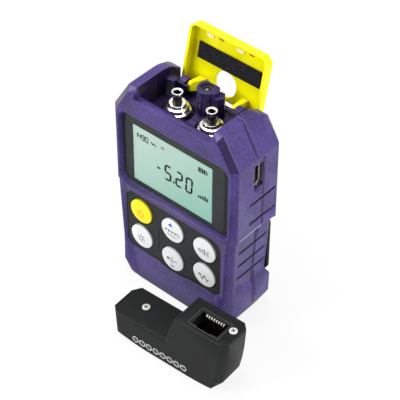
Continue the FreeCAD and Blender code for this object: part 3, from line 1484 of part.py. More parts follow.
def main():
    """Build every node."""
    os.makedirs("parts", exist_ok=True)
    body = housing_body()
    export("front_shell", front_shell(body))
    export("rear_shell", rear_shell(body))
    export("display_lens", display_lens())
    export("display_mask", display_mask())
    export("lcd_panel", lcd_panel())
    export("lcd_backlight", backlight())
    export("keypad_panel", keypad_panel())
    for name, (x, z) in key_places().items():
        export(name, key_button(x, z))
    export("key_switches", key_switches())
    export("main_board", main_board())
    export("battery_pack", battery_pack())
    export("battery_door", battery_door())
    export("battery_door_screws", door_screws())
    export("case_screws", case_screws())
    export("usb_shell", usb_shell())
    export("usb_tongue", usb_tongue())
    for name, x in port_positions().items():
        export(name + "_port_nut", port_nut(x))
        export(name + "_port_sleeve", port_sleeve(x))
    export("photodiode_module", port_module(port_positions()["power"], BARREL_RADIUS))
    export("laser_module", port_module(port_positions()["fault"], FERRULE_BORE_RADIUS))
    export("torch_housing", torch_housing())
    export("torch_lamp", torch_lamp())
    export("port_cover", opened(cover_closed()))
    export("cover_foam", opened(cover_foam()))
    remote = {
        "remote_case": remote_case(),
        "remote_low_lid": remote_lid(low_lid_plate(0.0, 0.0), 0),
        "remote_high_lid": remote_lid(high_lid_plate(0.0, 0.0), 1),
        "remote_screws": remote_screws(),
        "remote_jack_shield": jack_shield(),
        "remote_jack_insert": jack_insert(),
        "remote_jack_contacts": jack_contacts(),
        "remote_board": remote_board(),
        "remote_lamps": remote_leds(),
    }
    for name, shape in remote.items():
        export(name, remote_placed(shape))


main()
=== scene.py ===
"""Looks of a pocket optical power meter and its cable test remote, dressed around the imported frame."""

import logging
import math
from dataclasses import dataclass, field
from enum import Enum
from typing import Any, Callable, Optional, Sequence, Union

import bmesh
import bpy
from mathutils import Matrix, Vector
from mathutils.bvhtree import BVHTree

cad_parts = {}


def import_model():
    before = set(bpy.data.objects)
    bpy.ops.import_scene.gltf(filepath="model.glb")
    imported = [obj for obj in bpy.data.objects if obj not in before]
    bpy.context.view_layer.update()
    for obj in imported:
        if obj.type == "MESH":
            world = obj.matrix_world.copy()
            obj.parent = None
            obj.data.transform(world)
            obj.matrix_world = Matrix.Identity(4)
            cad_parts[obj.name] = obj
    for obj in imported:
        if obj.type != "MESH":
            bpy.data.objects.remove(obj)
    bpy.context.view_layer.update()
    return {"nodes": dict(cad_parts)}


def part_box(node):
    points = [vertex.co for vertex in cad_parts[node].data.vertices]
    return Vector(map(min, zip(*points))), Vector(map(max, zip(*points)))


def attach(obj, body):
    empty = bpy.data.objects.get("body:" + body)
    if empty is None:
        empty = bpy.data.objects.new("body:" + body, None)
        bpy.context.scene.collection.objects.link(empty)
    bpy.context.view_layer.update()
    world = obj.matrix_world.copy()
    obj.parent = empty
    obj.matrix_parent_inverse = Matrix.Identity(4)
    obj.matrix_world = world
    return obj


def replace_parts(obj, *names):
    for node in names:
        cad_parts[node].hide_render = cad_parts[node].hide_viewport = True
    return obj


LOG = logging.getLogger("power_meter")
MM = 0.001
Colour = tuple[float, float, float]
Point = tuple[float, float]
Point3 = tuple[float, float, float]


# ---- shader maths ----------------------------------------------------------


class Signal:
    """A shader output that takes part in Python arithmetic."""

    def __init__(self, graph: "Graph", socket: bpy.types.NodeSocket) -> None:
        """Keep the graph and the output socket."""
        self.graph = graph
        self.socket = socket

    def _maths(self, operation: str, first: Any, second: Any) -> "Signal":
        """One Math node on two values."""
        return self.graph.node("ShaderNodeMath", {"operation": operation}, {0: first, 1: second})

    def __add__(self, other: Any) -> "Signal":
        """The sum."""
        return self._maths("ADD", self, other)

    def __radd__(self, other: Any) -> "Signal":
        """The sum, reflected."""
        return self._maths("ADD", other, self)

    def __sub__(self, other: Any) -> "Signal":
        """The difference."""
        return self._maths("SUBTRACT", self, other)

    def __rsub__(self, other: Any) -> "Signal":
        """The difference, reflected."""
        return self._maths("SUBTRACT", other, self)

    def __mul__(self, other: Any) -> "Signal":
        """The product."""
        return self._maths("MULTIPLY", self, other)

    def __rmul__(self, other: Any) -> "Signal":
        """The product, reflected."""
        return self._maths("MULTIPLY", other, self)

    def __or__(self, other: Any) -> "Signal":
        """The larger of two masks."""
        return self._maths("MAXIMUM", self, other)

    def __and__(self, other: Any) -> "Signal":
        """The smaller of two masks."""
        return self._maths("MINIMUM", self, other)

    def band(self, low: float, high: float) -> "Signal":
        """A smooth 0 to 1 step between two values.

        Args:
            low: The value that gives 0.
            high: The value that gives 1.

        Returns:
            The stepped signal.
        """
        settings = {"interpolation_type": "SMOOTHSTEP"}
        return self.graph.node("ShaderNodeMapRange", settings, {0: self, 1: low, 2: high, 3: 0.0, 4: 1.0})


class Graph:
    """A node tree that is built from Python expressions."""

    def __init__(self, tree: bpy.types.NodeTree) -> None:
        """Start the tree empty."""
        self.tree = tree
        tree.nodes.clear()

    def node(
        self,
        kind: str,
        settings: Optional[dict[str, Any]] = None,
        inputs: Optional[dict[Union[int, str], Any]] = None,
        output: Union[int, str] = 0,
    ) -> Signal:
        """Add one node.

        Args:
            kind: The node's type.
            settings: Its properties, set before its sockets; "stops" holds a ramp's stops.
            inputs: Values or signals for its sockets.
            output: The output that the signal stands for.

        Returns:
            The chosen output as a signal.
        """
        made = self.tree.nodes.new(kind)
        for name, value in (settings or {}).items():
            if name == "stops":
                self._set_stops(made.color_ramp, value)
            else:
                setattr(made, name, value)
        for name, value in (inputs or {}).items():
            if isinstance(value, Signal):
                self.tree.links.new(value.socket, made.inputs[name])
            else:
                made.inputs[name].default_value = value
        return Signal(self, made.outputs[output] if made.outputs else None)

    @staticmethod
    def _set_stops(ramp: bpy.types.ColorRamp, stops: Sequence[tuple[float, Colour]]) -> None:
        """Give a ramp its stops."""
        while len(ramp.elements) < len(stops):
            ramp.elements.new(1.0)
        for element, (place, tone) in zip(ramp.elements, stops):
            element.position = place
            element.color = (*tone, 1.0)

    def mix(self, share: Any, first: Any, second: Any) -> Signal:
        """Blend two colours.

        Args:
            share: How much of the second colour shows.
            first: A colour or colour signal.
            second: A colour or colour signal.

        Returns:
            The blended colour.
        """
        pair = [value if isinstance(value, Signal) else (*value, 1.0) for value in (first, second)]
        settings = {"data_type": "RGBA", "clamp_factor": True}
        return self.node("ShaderNodeMix", settings, {0: share, 6: pair[0], 7: pair[1]}, 2)

    def place(self) -> Signal:
        """The point's place in the row frame, in metres."""
        return self.node("ShaderNodeTexCoord", output="Object")

    def axes(self) -> tuple[Signal, Signal, Signal]:
        """The point's X, Y and Z in millimetres."""
        split = self.node("ShaderNodeSeparateXYZ", None, {0: self.place()})
        sockets = split.socket.node.outputs
        x, y, z = (Signal(self, socket) * (1.0 / MM) for socket in sockets)
        return x, y, z

    def noise(self, size: float, detail: float = 2.0, roughness: float = 0.5) -> Signal:
        """Soft noise.

        Args:
            size: The width of one blotch in millimetres.
            detail: How many finer layers it has.
            roughness: How strong those layers are.

        Returns:
            A value around 0.5.
        """
        scale = 1.0 / (size * MM)
        values = {"Vector": self.place(), "Scale": scale, "Detail": detail, "Roughness": roughness}
        return self.node("ShaderNodeTexNoise", None, values)


# ---- finishes --------------------------------------------------------------


def new_material(name: str) -> tuple[bpy.types.Material, Graph]:
    """An empty material and its graph."""
    material = bpy.data.materials.new(name)
    material.use_nodes = True
    return material, Graph(material.node_tree)


@dataclass(frozen=True)
class Finish:
    """What every finish shares."""

    name: str
    tone: Colour
    roughness: float = 0.5
    specular: float = 0.5
    metallic: float = 0.0

    def shader(self, graph: Graph, extra: dict[Union[int, str], Any]) -> Signal:
        """The main shader with this finish's plain values.

        Args:
            graph: The material's graph.
            extra: More socket values or links.

        Returns:
            The shader.
        """
        values: dict[Union[int, str], Any] = {
            "Base Color": (*self.tone, 1.0),
            "Roughness": self.roughness,
            "Specular IOR Level": self.specular,
            "Metallic": self.metallic,
        }
        values.update(extra)
        return graph.node("ShaderNodeBsdfPrincipled", None, values)

    def material(self) -> bpy.types.Material:
        """The plain material."""
        material, graph = new_material(self.name)
        graph.node("ShaderNodeOutputMaterial", None, {0: self.shader(graph, {})})
        return material


@dataclass(frozen=True)
class Moulding(Finish):
    """A moulded plastic or rubber with spark texture, softened edges with a painted highlight along them, and
    painted shade in its hollows.
    """

    # Some fields set a painted highlight along the edges (its tone and strength) and a painted shade in
    # corners and hollows (its strength, reach and tone).
    edge_highlight_tone: Optional[Colour] = None
    edge: float = 0.35
    edge_highlight: float = 0.55
    grain: float = 0.35
    relief: float = 0.02
    mottle: float = 0.12
    speckle: float = 0.1
    hollow_shade: float = 0.5
    hollow_shade_reach: float = 6.0
    hollow_shade_tone: Optional[Colour] = None

    def soft_edges(self, graph: Graph) -> tuple[Signal, Signal]:
        """Rounded normals and a mask of the edges.

        Args:
            graph: The material's graph.

        Returns:
            The normal and the mask.
        """
        rounded = graph.node("ShaderNodeBevel", {"samples": 6}, {"Radius": self.edge * MM})
        true_normal = graph.node("ShaderNodeNewGeometry", output="Normal")
        settings = {"operation": "DOT_PRODUCT"}
        facing = graph.node("ShaderNodeVectorMath", settings, {0: rounded, 1: true_normal}, "Value")
        return rounded, (1.0 - facing).band(0.01, 0.16)

    def shade(self, graph: Graph) -> Signal:
        """A mask of the corners and hollows where little light comes.

        Args:
            graph: The material's graph.

        Returns:
            0 in the open and 1 deep inside.
        """
        settings = {"samples": 8}
        reach = {"Distance": self.hollow_shade_reach * MM}
        openness = graph.node("ShaderNodeAmbientOcclusion", settings, reach, "AO")
        return 1.0 - openness.band(0.25, 0.92)

    def colour(self, graph: Graph, highlight_mask: Signal) -> Signal:
        """The tone with its mottle, a painted highlight on its edges and painted shade in its hollows.

        Args:
            graph: The material's graph.
            highlight_mask: The mask of the edges, where the highlight is painted.

        Returns:
            The colour.
        """
        broad = graph.noise(9.0, 3.0)
        fine = graph.noise(self.grain, 1.0)
        dark = tuple(value * (1.0 - self.mottle) for value in self.tone)
        light = tuple(value * (1.0 + self.mottle) for value in self.tone)
        body = graph.mix(broad.band(0.3, 0.7), dark, light)
        gain, lift = 1.0 + 4.0 * self.speckle, 0.05 * self.speckle
        spark = tuple(min(1.0, value * gain + lift) for value in self.tone)
        body = graph.mix(fine.band(0.5, 0.8) * self.speckle * 2.0, body, spark)
        # Painted highlight: the edges are lightened towards a lighter tone.
        body = graph.mix(highlight_mask * self.edge_highlight, body, self.edge_highlight_tone or light)
        # Painted shade: corners and hollows darken towards a dark tone.
        deep = self.hollow_shade_tone or tuple(value * 0.12 for value in self.tone)
        return graph.mix(self.shade(graph) * self.hollow_shade, body, deep)

    def material(self) -> bpy.types.Material:
        """The moulded material."""
        material, graph = new_material(self.name)
        rounded, highlight_mask = self.soft_edges(graph)
        height = graph.noise(self.grain, 2.0)
        values = {"Height": height, "Distance": self.relief * MM, "Strength": 1.0, "Normal": rounded}
        normal = graph.node("ShaderNodeBump", None, values)
        gloss = self.roughness + (graph.noise(self.grain * 3.0) - 0.5) * 0.12
        links = {"Base Color": self.colour(graph, highlight_mask), "Normal": normal, "Roughness": gloss}
        graph.node("ShaderNodeOutputMaterial", None, {0: self.shader(graph, links)})
        return material


@dataclass(frozen=True)
class Metal(Finish):
    """A bare or plated metal with fine turning or brush marks."""

    metallic: float = 1.0
    brush: float = 0.15
    scuff: float = 0.06

    def material(self) -> bpy.types.Material:
        """The metal material."""
        material, graph = new_material(self.name)
        rounded = graph.node("ShaderNodeBevel", {"samples": 4}, {"Radius": 0.08 * MM})
        height = graph.noise(self.brush, 2.0)
        values = {"Height": height, "Distance": 0.002 * MM, "Strength": 0.6, "Normal": rounded}
        normal = graph.node("ShaderNodeBump", None, values)
        gloss = self.roughness + graph.noise(1.2, 3.0).band(0.45, 0.75) * self.scuff
        links = {"Normal": normal, "Roughness": gloss}
        graph.node("ShaderNodeOutputMaterial", None, {0: self.shader(graph, links)})
        return material


@dataclass(frozen=True)
class SleeveMetal(Finish):
    """A plated sleeve whose neck is blackened between two heights."""

    metallic: float = 1.0
    neck_tone: Colour = (0.02, 0.02, 0.022)
    neck_low: float = 80.0
    neck_top: float = 85.0

    def material(self) -> bpy.types.Material:
        """The sleeve's material."""
        material, graph = new_material(self.name)
        _, _, z = graph.axes()
        above = z.band(self.neck_low - 0.1, self.neck_low + 0.1)
        neck = above * (1.0 - z.band(self.neck_top - 0.05, self.neck_top))
        tone = graph.mix(neck, self.tone, self.neck_tone)
        rounded = graph.node("ShaderNodeBevel", {"samples": 4}, {"Radius": 0.1 * MM})
        gloss = self.roughness + neck * 0.2
        links = {"Base Color": tone, "Roughness": gloss, "Metallic": 1.0 - neck * 0.4, "Normal": rounded}
        graph.node("ShaderNodeOutputMaterial", None, {0: self.shader(graph, links)})
        return material


@dataclass(frozen=True)
class Screen(Finish):
    """The liquid crystal's pale green field, greener towards its lower right corner."""

    low_tone: Colour = (0.4, 0.72, 0.62)
    left: float = -20.5
    right: float = 16.4
    low: float = 46.4
    top: float = 71.5

    def material(self) -> bpy.types.Material:
        """The screen's material."""
        material, graph = new_material(self.name)
        x, _, z = graph.axes()
        across = (x - self.left) * (1.0 / (self.right - self.left))
        down = (self.top - z) * (1.0 / (self.top - self.low))
        share = across * 0.5 + down * 0.5
        tone = graph.mix(share.band(-0.05, 1.05), self.tone, self.low_tone)
        links = {"Base Color": tone, "Emission Color": tone, "Emission Strength": 0.12}
        graph.node("ShaderNodeOutputMaterial", None, {0: self.shader(graph, links)})
        return material


@dataclass(frozen=True)
class Window(Finish):
    """A thin clear window: what is behind it shows, under a slight gloss."""

    gloss: float = 0.25

    def material(self) -> bpy.types.Material:
        """The window's material."""
        material, graph = new_material(self.name)
        clear = graph.node("ShaderNodeBsdfTransparent", None, {0: (*self.tone, 1.0)})
        shine = self.shader(graph, {"Base Color": (0.0, 0.0, 0.0, 1.0), "Metallic": 0.0})
        rim = graph.node("ShaderNodeLayerWeight", None, {0: 0.25}, "Fresnel")
        share = rim * self.gloss
        both = graph.node("ShaderNodeMixShader", None, {0: share, 1: clear, 2: shine})
        graph.node("ShaderNodeOutputMaterial", None, {0: both})
        return material


@dataclass(frozen=True)
class Foam(Finish):
    """An open cell foam."""

    cell: float = 0.5

    def material(self) -> bpy.types.Material:
        """The foam's material."""
        material, graph = new_material(self.name)
        cells = graph.node(
            "ShaderNodeTexVoronoi",
            None,
            {"Vector": graph.place(), "Scale": 1.0 / (self.cell * MM)},
            "Distance",
        )
        normal = graph.node("ShaderNodeBump", None, {"Height": cells, "Distance": 0.12 * MM, "Strength": 1.0})
        light = tuple(value * 2.6 for value in self.tone)
        tone = graph.mix(cells.band(0.35, 0.8), self.tone, light)
        links = {"Base Color": tone, "Normal": normal}
        graph.node("ShaderNodeOutputMaterial", None, {0: self.shader(graph, links)})
        return material


@dataclass(frozen=True)
class Board(Finish):
    """A circuit board with tracks under its mask."""

    def material(self) -> bpy.types.Material:
        """The board's material."""
        material, graph = new_material(self.name)
        x, _, z = graph.axes()
        lane = graph.node("ShaderNodeMath", {"operation": "PINGPONG"}, {0: x + z * 0.5, 1: 0.7})
        light = tuple(value * 1.7 for value in self.tone)
        tone = graph.mix(lane.band(0.3, 0.34), self.tone, light)
        graph.node("ShaderNodeOutputMaterial", None, {0: self.shader(graph, {"Base Color": tone})})
        return material


VIOLET = Moulding(
    "violet_plastic", (0.034, 0.018, 0.124), 0.36, 0.36,
    edge_highlight_tone=(0.2, 0.15, 0.4), edge=0.8, relief=0.04, edge_highlight=0.3,
    mottle=0.3, speckle=0.5, hollow_shade=0.95, hollow_shade_reach=9.0,
)
# A darker, shaded copy of the violet: painted shade for the front bevels of the shoulders.
VIOLET_SHADE = Moulding(
    "violet_plastic_bevel_shade", (0.016, 0.008, 0.062), 0.3, 0.3,
    edge_highlight_tone=(0.1, 0.07, 0.24), edge=0.8, relief=0.03,
    edge_highlight=0.2, mottle=0.3, speckle=0.3,
)
# A pale violet line: painted highlight along the edge of the waist's step.
VIOLET_HIGHLIGHT = Finish("violet_edge_highlight", (0.46, 0.4, 0.66), 0.3, 0.5)
# Nearly black violet: painted shade for the bay's walls and the floors of the finger grooves.
VIOLET_RECESS_SHADE = Moulding(
    "violet_plastic_recess_shade", (0.0085, 0.0045, 0.03), 0.4, 0.2,
    edge_highlight_tone=(0.06, 0.04, 0.15), edge=0.4, hollow_shade=0.9,
)
VIOLET_DARK = Moulding(
    "violet_plastic_inner", (0.022, 0.012, 0.075), 0.4, 0.35,
    edge_highlight_tone=(0.12, 0.08, 0.28), edge=0.5, relief=0.03,
    mottle=0.2, speckle=0.2, hollow_shade=0.9,
)
# The charcoal's short shade reach paints shade into the gaps round the keys.
CHARCOAL = Moulding(
    "charcoal_plastic", (0.02, 0.0205, 0.022), 0.5, 0.16, edge_highlight_tone=(0.06, 0.06, 0.065), hollow_shade=0.9,
    hollow_shade_reach=1.6,
)
BLACK = Moulding(
    "black_plastic", (0.0085, 0.009, 0.0095), 0.48, 0.14,
    edge_highlight_tone=(0.045, 0.046, 0.05), edge=0.6, hollow_shade=0.6,
)
WHITE_RUBBER = Moulding(
    "white_rubber", (0.78, 0.8, 0.8), 0.6, 0.3, edge_highlight_tone=(0.85, 0.86, 0.86), mottle=0.03, speckle=0.02
)
YELLOW_RUBBER = Moulding(
    "yellow_rubber", (0.93, 0.8, 0.01), 0.55, 0.3, edge_highlight_tone=(0.95, 0.86, 0.1), mottle=0.03, speckle=0.02
)
# The yellow's hollows darken to a painted orange-brown shade.
YELLOW = Moulding(
    "yellow_plastic", (0.95, 0.9, 0.0), 0.4, 0.22, edge_highlight_tone=(0.97, 0.94, 0.08), mottle=0.03, speckle=0.0,
    relief=0.004, hollow_shade=0.95, hollow_shade_reach=3.4, hollow_shade_tone=(0.5, 0.23, 0.0),
)
# Pale yellow for two small flat patches on the cover's inner face.
YELLOW_PALE = Finish("yellow_pale_patch", (0.97, 0.95, 0.42), 0.25, 0.5)
# Orange-brown: painted shade in the cover's notches and corner.
AMBER_SHADE = Finish("amber_hollow_shade", (0.42, 0.2, 0.01), 0.5, 0.3)
PLATED = Metal("plated_nickel", (0.95, 0.93, 0.88), 0.16)
STEEL = Metal("steel", (0.7, 0.7, 0.7), 0.22)
GOLD = Metal("gold_contact", (0.9, 0.72, 0.35), 0.18)
CAN = Metal("module_can", (0.7, 0.7, 0.72), 0.3)
SLEEVE = SleeveMetal("sleeve_metal", (0.97, 0.96, 0.94), 0.14, neck_low=79.6, neck_top=85.25)
SCREEN = Screen("liquid_crystal", (0.74, 0.88, 0.8), 0.5, 0.3)
GUIDE = Finish("light_guide", (0.85, 0.88, 0.9), 0.3)
WINDOW = Window("display_window", (0.96, 0.98, 0.97), 0.06, 0.5)
PRINT = Finish("display_print", (0.04, 0.041, 0.045), 0.5, 0.3)
FOAM = Foam("black_foam", (0.01, 0.01, 0.013), 0.9, 0.1)
BOARD = Board("circuit_board", (0.02, 0.16, 0.07), 0.35)
SWITCH = Finish("switch_body", (0.03, 0.03, 0.032), 0.45)
WRAP = Finish("battery_wrap", (0.06, 0.16, 0.38), 0.35)
LAMP = Finish("lamp_clear", (0.03, 0.03, 0.05), 0.12, 0.9)
LAMP_DARK = Finish("lamp_dark", (0.02, 0.02, 0.022), 0.2, 0.6)
ZINC = Finish("bright_zinc", (0.72, 0.72, 0.69), 0.35, 0.5, 0.35)
SHIELD = Metal("jack_shield", (0.09, 0.09, 0.095), 0.45)
CONTACT = Finish("pale_contact", (0.85, 0.82, 0.72), 0.3, 0.5)
INK_DARK = Finish("dark_ink", (0.012, 0.014, 0.016), 0.55, 0.2)
INK_BLUE = Finish("blue_ink", (0.02, 0.08, 0.6), 0.5, 0.2)
INK_ORANGE = Finish("orange_ink", (0.85, 0.16, 0.01), 0.5, 0.2)
INK_WHITE = Finish("white_ink", (0.78, 0.79, 0.8), 0.5, 0.2)
SEAM = Finish("dark_seam", (0.01, 0.01, 0.014), 0.7, 0.1)


@dataclass
class Wardrobe:
    """Puts finishes on CAD nodes and on new pieces, and makes each material once."""

    nodes: dict[str, bpy.types.Object]
    made: dict[str, bpy.types.Material] = field(default_factory=dict)

    def material(self, finish: Finish) -> bpy.types.Material:
        """The finish's material, made at its first use."""
        if finish.name not in self.made:
            self.made[finish.name] = finish.material()
        return self.made[finish.name]

    def dress(self, finish: Finish, *names: str) -> None:
        """Give CAD nodes a finish.

        Args:
            finish: The finish.
            names: The nodes.
        """
        for name in names:
            mesh = self.nodes[name].data
            mesh.materials.clear()
            mesh.materials.append(self.material(finish))
            LOG.info("%s: %s", name, finish.name)

    def piece(
        self, name: str, mesh: bpy.types.Mesh, finish: Finish, body: str, slot: str
    ) -> bpy.types.Object:
        """Add a new piece that rides on a body.

        Args:
            name: The piece's name.
            mesh: Its mesh, in the row frame.
            finish: Its finish.
            body: The body it rides on.
            slot: A material slot name; not used.

        Returns:
            The piece.
        """
        made = bpy.data.objects.new(name, mesh)
        bpy.context.scene.collection.objects.link(made)
        mesh.materials.append(self.material(finish))
        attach(made, body)
        LOG.info("%s: %s on %s", name, finish.name, body)
        return made


# ---- printed and inlaid marks ----------------------------------------------


@dataclass(frozen=True)
class Stroke:
    """One line of a mark, in millimetres on the mark's own plane, with a width at each point."""

    points: tuple[Point, ...]
    widths: tuple[float, ...]
    closed: bool = False


def line(width: float, *points: Point, closed: bool = False) -> Stroke:
    """A stroke of one width.

    Args:
        width: The line's width.
        points: Its points.
        closed: Whether it returns to its first point.

    Returns:
        The stroke.
    """
    return Stroke(tuple(points), (width,) * len(points), closed)


def arc(width: float, radius: float, start: float, end: float, centre: Point = (0.0, 0.0)) -> Stroke:
    """A stroke along a circle.

    Args:
        width: The line's width.
        radius: The circle's radius.
        start: The first angle in degrees.
        end: The last angle in degrees.
        centre: The circle's centre.

    Returns:
        The stroke.
    """
    closed = abs(end - start) >= 360.0
    count = max(6, int(abs(end - start) / 12.0))
    steps = count if closed else count + 1
    angles = [math.radians(start + (end - start) * index / count) for index in range(steps)]
    points = tuple((centre[0] + radius * math.cos(a), centre[1] + radius * math.sin(a)) for a in angles)
    return Stroke(points, (width,) * len(points), closed)


def disc(radius: float, centre: Point = (0.0, 0.0)) -> Stroke:
    """A filled circle, as one stroke whose width follows the chord."""
    count = 14
    points, widths = [], []
    for index in range(count + 1):
        angle = math.pi * index / count
        points.append((centre[0] - radius * math.cos(angle), centre[1]))
        widths.append(max(0.02, 2.0 * radius * math.sin(angle)))
    return Stroke(tuple(points), tuple(widths))


def moved(strokes: Sequence[Stroke], shift: Point, size: float = 1.0, turn: float = 0.0) -> list[Stroke]:
    """Strokes that are scaled, turned and shifted.

    Args:
        strokes: The strokes.
        shift: Where their origin goes.
        size: Their scale.
        turn: Their turn in degrees.

    Returns:
        The placed strokes.
    """
    c, s = math.cos(math.radians(turn)) * size, math.sin(math.radians(turn)) * size
    return [
        Stroke(
            tuple((shift[0] + x * c - y * s, shift[1] + x * s + y * c) for x, y in stroke.points),
            tuple(width * size for width in stroke.widths),
            stroke.closed,
        )
        for stroke in strokes
    ]


@dataclass(frozen=True)
class SegmentFont:
    """Seven segment figures, leaning slightly, as a display shows them."""

    width: float
    height: float
    weight: float
    lean: float = 0.06
    gap: float = 0.06

    SHAPES = {
        "0": "abcdef", "1": "bc", "2": "abged", "3": "abgcd", "4": "fgbc", "5": "afgcd",
        "6": "afgedc", "7": "abc", "8": "abcdefg", "9": "abfgcd", "-": "g",
    }

    def _segment(self, letter: str) -> Stroke:
        """One segment with pointed ends."""
        w, h, t = self.width / 2, self.height / 2, self.weight
        ends = {
            "a": ((-w, h), (w, h)), "b": ((w, h), (w, 0.0)),
            "c": ((w, 0.0), (w, -h)), "d": ((-w, -h), (w, -h)),
            "e": ((-w, 0.0), (-w, -h)), "f": ((-w, h), (-w, 0.0)), "g": ((-w, 0.0), (w, 0.0)),
        }
        (x0, y0), (x1, y1) = ends[letter]
        length = math.hypot(x1 - x0, y1 - y0)
        ux, uy = (x1 - x0) / length, (y1 - y0) / length
        places = (self.gap, self.gap + t / 2, length - self.gap - t / 2, length - self.gap)
        points = tuple((x0 + ux * p + self.lean * (y0 + uy * p), y0 + uy * p) for p in places)
        return Stroke(points, (t * 0.25, t, t, t * 0.25))

    def figure(self, figure: str) -> list[Stroke]:
        """The strokes of one figure around its middle."""
        return [self._segment(letter) for letter in self.SHAPES[figure]]


@dataclass
class Skin:
    """The outside of a CAD node, which marks are laid on."""

    node: bpy.types.Object
    origin: Vector
    across: Vector
    up: Vector
    reach: float = 30.0

    def __post_init__(self) -> None:
        """Build the tree of faces and the outward direction."""
        mesh = self.node.data
        corners = [vertex.co.copy() for vertex in mesh.vertices]
        self.tree = BVHTree.FromPolygons(corners, [tuple(face.vertices) for face in mesh.polygons])
        self.outward = self.across.cross(self.up).normalized()

    def touch(self, place: Point) -> Vector:
        """The skin's point under a place on the mark's plane.

        Args:
            place: The place in millimetres.

        Returns:
            The point in metres.
        """
        flat = self.origin + (self.across * place[0] + self.up * place[1]) * MM
        hit, _, _, _ = self.tree.ray_cast(flat + self.outward * self.reach * MM, -self.outward)
        return hit if hit is not None else flat


@dataclass
class Marking:
    """Strokes laid on a skin as one thin closed mesh."""

    skin: Skin
    thickness: float = 0.02
    step: float = 0.3

    def _samples(self, stroke: Stroke) -> list[tuple[Point, float]]:
        """Points close enough together to follow the skin."""
        count = len(stroke.points)
        last = count if stroke.closed else count - 1
        samples: list[tuple[Point, float]] = []
        for index in range(last):
            (x0, y0), (x1, y1) = stroke.points[index], stroke.points[(index + 1) % count]
            w0, w1 = stroke.widths[index], stroke.widths[(index + 1) % count]
            pieces = max(1, int(math.hypot(x1 - x0, y1 - y0) / self.step))
            for part in range(pieces):
                share = part / pieces
                samples.append(((x0 + (x1 - x0) * share, y0 + (y1 - y0) * share), w0 + (w1 - w0) * share))
        if not stroke.closed:
            samples.append((stroke.points[-1], stroke.widths[-1]))
        return samples

    @staticmethod
    def _normal(before: Point, after: Point) -> Point:
        """The left hand normal of a run."""
        dx, dy = after[0] - before[0], after[1] - before[1]
        length = math.hypot(dx, dy) or 1.0
        return -dy / length, dx / length

    def _sides(self, samples: list[tuple[Point, float]], closed: bool) -> list[tuple[Point, Point]]:
        """Left and right points of a stroke, mitred at its bends."""
        count = len(samples)
        sides = []
        for index, (here, width) in enumerate(samples):
            back = samples[index - 1][0] if index or closed else here
            ahead = samples[(index + 1) % count][0] if index < count - 1 or closed else here
            first = self._normal(back, here) if back != here else self._normal(here, ahead)
            second = self._normal(here, ahead) if ahead != here else first
            nx, ny = first[0] + second[0], first[1] + second[1]
            length = math.hypot(nx, ny) or 1.0
            nx, ny = nx / length, ny / length
            mitre = min(1.6, 1.0 / max(0.35, nx * first[0] + ny * first[1]))
            half = width / 2 * mitre
            left = (here[0] + nx * half, here[1] + ny * half)
            sides.append((left, (here[0] - nx * half, here[1] - ny * half)))
        return sides

    def mesh(self, name: str, strokes: Sequence[Stroke]) -> bpy.types.Mesh:
        """Build the mesh.

        Args:
            name: The mesh's name.
            strokes: The strokes.

        Returns:
            The mesh in the row frame.
        """
        points: list[Vector] = []
        faces: list[tuple[int, ...]] = []
        lift = self.skin.outward * self.thickness * MM
        for stroke in strokes:
            sides = self._sides(self._samples(stroke), stroke.closed)
            first = len(points)
            for left, right in sides:
                a, b = self.skin.touch(left), self.skin.touch(right)
                points.extend((a + lift, b + lift, b - lift * 0.5, a - lift * 0.5))
            runs = len(sides) if stroke.closed else len(sides) - 1
            for index in range(runs):
                here, there = first + 4 * index, first + 4 * ((index + 1) % len(sides))
                for k in range(4):
                    n = (k + 1) % 4
                    faces.append((here + k, here + n, there + n, there + k))
            if not stroke.closed:
                faces.append((first + 3, first + 2, first + 1, first))
                end = first + 4 * (len(sides) - 1)
                faces.append((end, end + 1, end + 2, end + 3))
        mesh = bpy.data.meshes.new(name)
        mesh.from_pydata([tuple(point) for point in points], [], faces)
        mesh.validate()
        mesh.update()
        return mesh


# ---- finer shapes of the CAD's pieces --------------------------------------


@dataclass(frozen=True)
class Pull:
    """A point of a flat section, in millimetres, and how far it is drawn."""

    place: Point
    shift: Point


def drawn(place: Point, pulls: Sequence[Pull], power: float = 3.0) -> Point:
    """How far a point moves between pulls.

    Args:
        place: The point.
        pulls: The pulls around it.
        power: How fast a pull's hold falls with distance.

    Returns:
        The shift.
    """
    total, first, second = 0.0, 0.0, 0.0
    for pull in pulls:
        span = math.hypot(place[0] - pull.place[0], place[1] - pull.place[1])
        if span < 1e-4:
            return pull.shift
        hold = span**-power
        total, first, second = total + hold, first + hold * pull.shift[0], second + hold * pull.shift[1]
    return first / total, second / total


def between(value: float, stops: Sequence[Point]) -> float:
    """A value read from a table of straight runs; 0 outside it."""
    for (low, start), (high, end) in zip(stops, stops[1:]):
        if low <= value <= high:
            return start + (end - start) * (value - low) / (high - low)
    return 0.0


@dataclass
class Reshaped:
    """A copy of a CAD node with extra cuts, moved points and rounded edges, which stands for it."""

    node: bpy.types.Object
    move: Callable[[Vector], Vector]
    cuts: tuple[tuple[Point3, Point3], ...] = ()
    smooth: float = 24.0

    def mesh(self) -> bpy.types.Mesh:
        """The reshaped mesh in the row frame."""
        work = bmesh.new()
        work.from_mesh(self.node.data)
        bmesh.ops.remove_doubles(work, verts=work.verts, dist=1e-7)
        for point, normal in self.cuts:
            everything = list(work.verts) + list(work.edges) + list(work.faces)
            place = Vector(point) * MM
            bmesh.ops.bisect_plane(work, geom=everything, dist=1e-8, plane_co=place, plane_no=Vector(normal))
        for vertex in work.verts:
            vertex.co = self.move(vertex.co / MM) * MM
        bmesh.ops.triangulate(work, faces=[face for face in work.faces if len(face.verts) > 4])
        mesh = bpy.data.meshes.new(f"{self.node.name}_fine")
        work.to_mesh(mesh)
        work.free()
        for face in mesh.polygons:
            face.use_smooth = True
        mesh.set_sharp_from_angle(angle=math.radians(self.smooth))
        return mesh


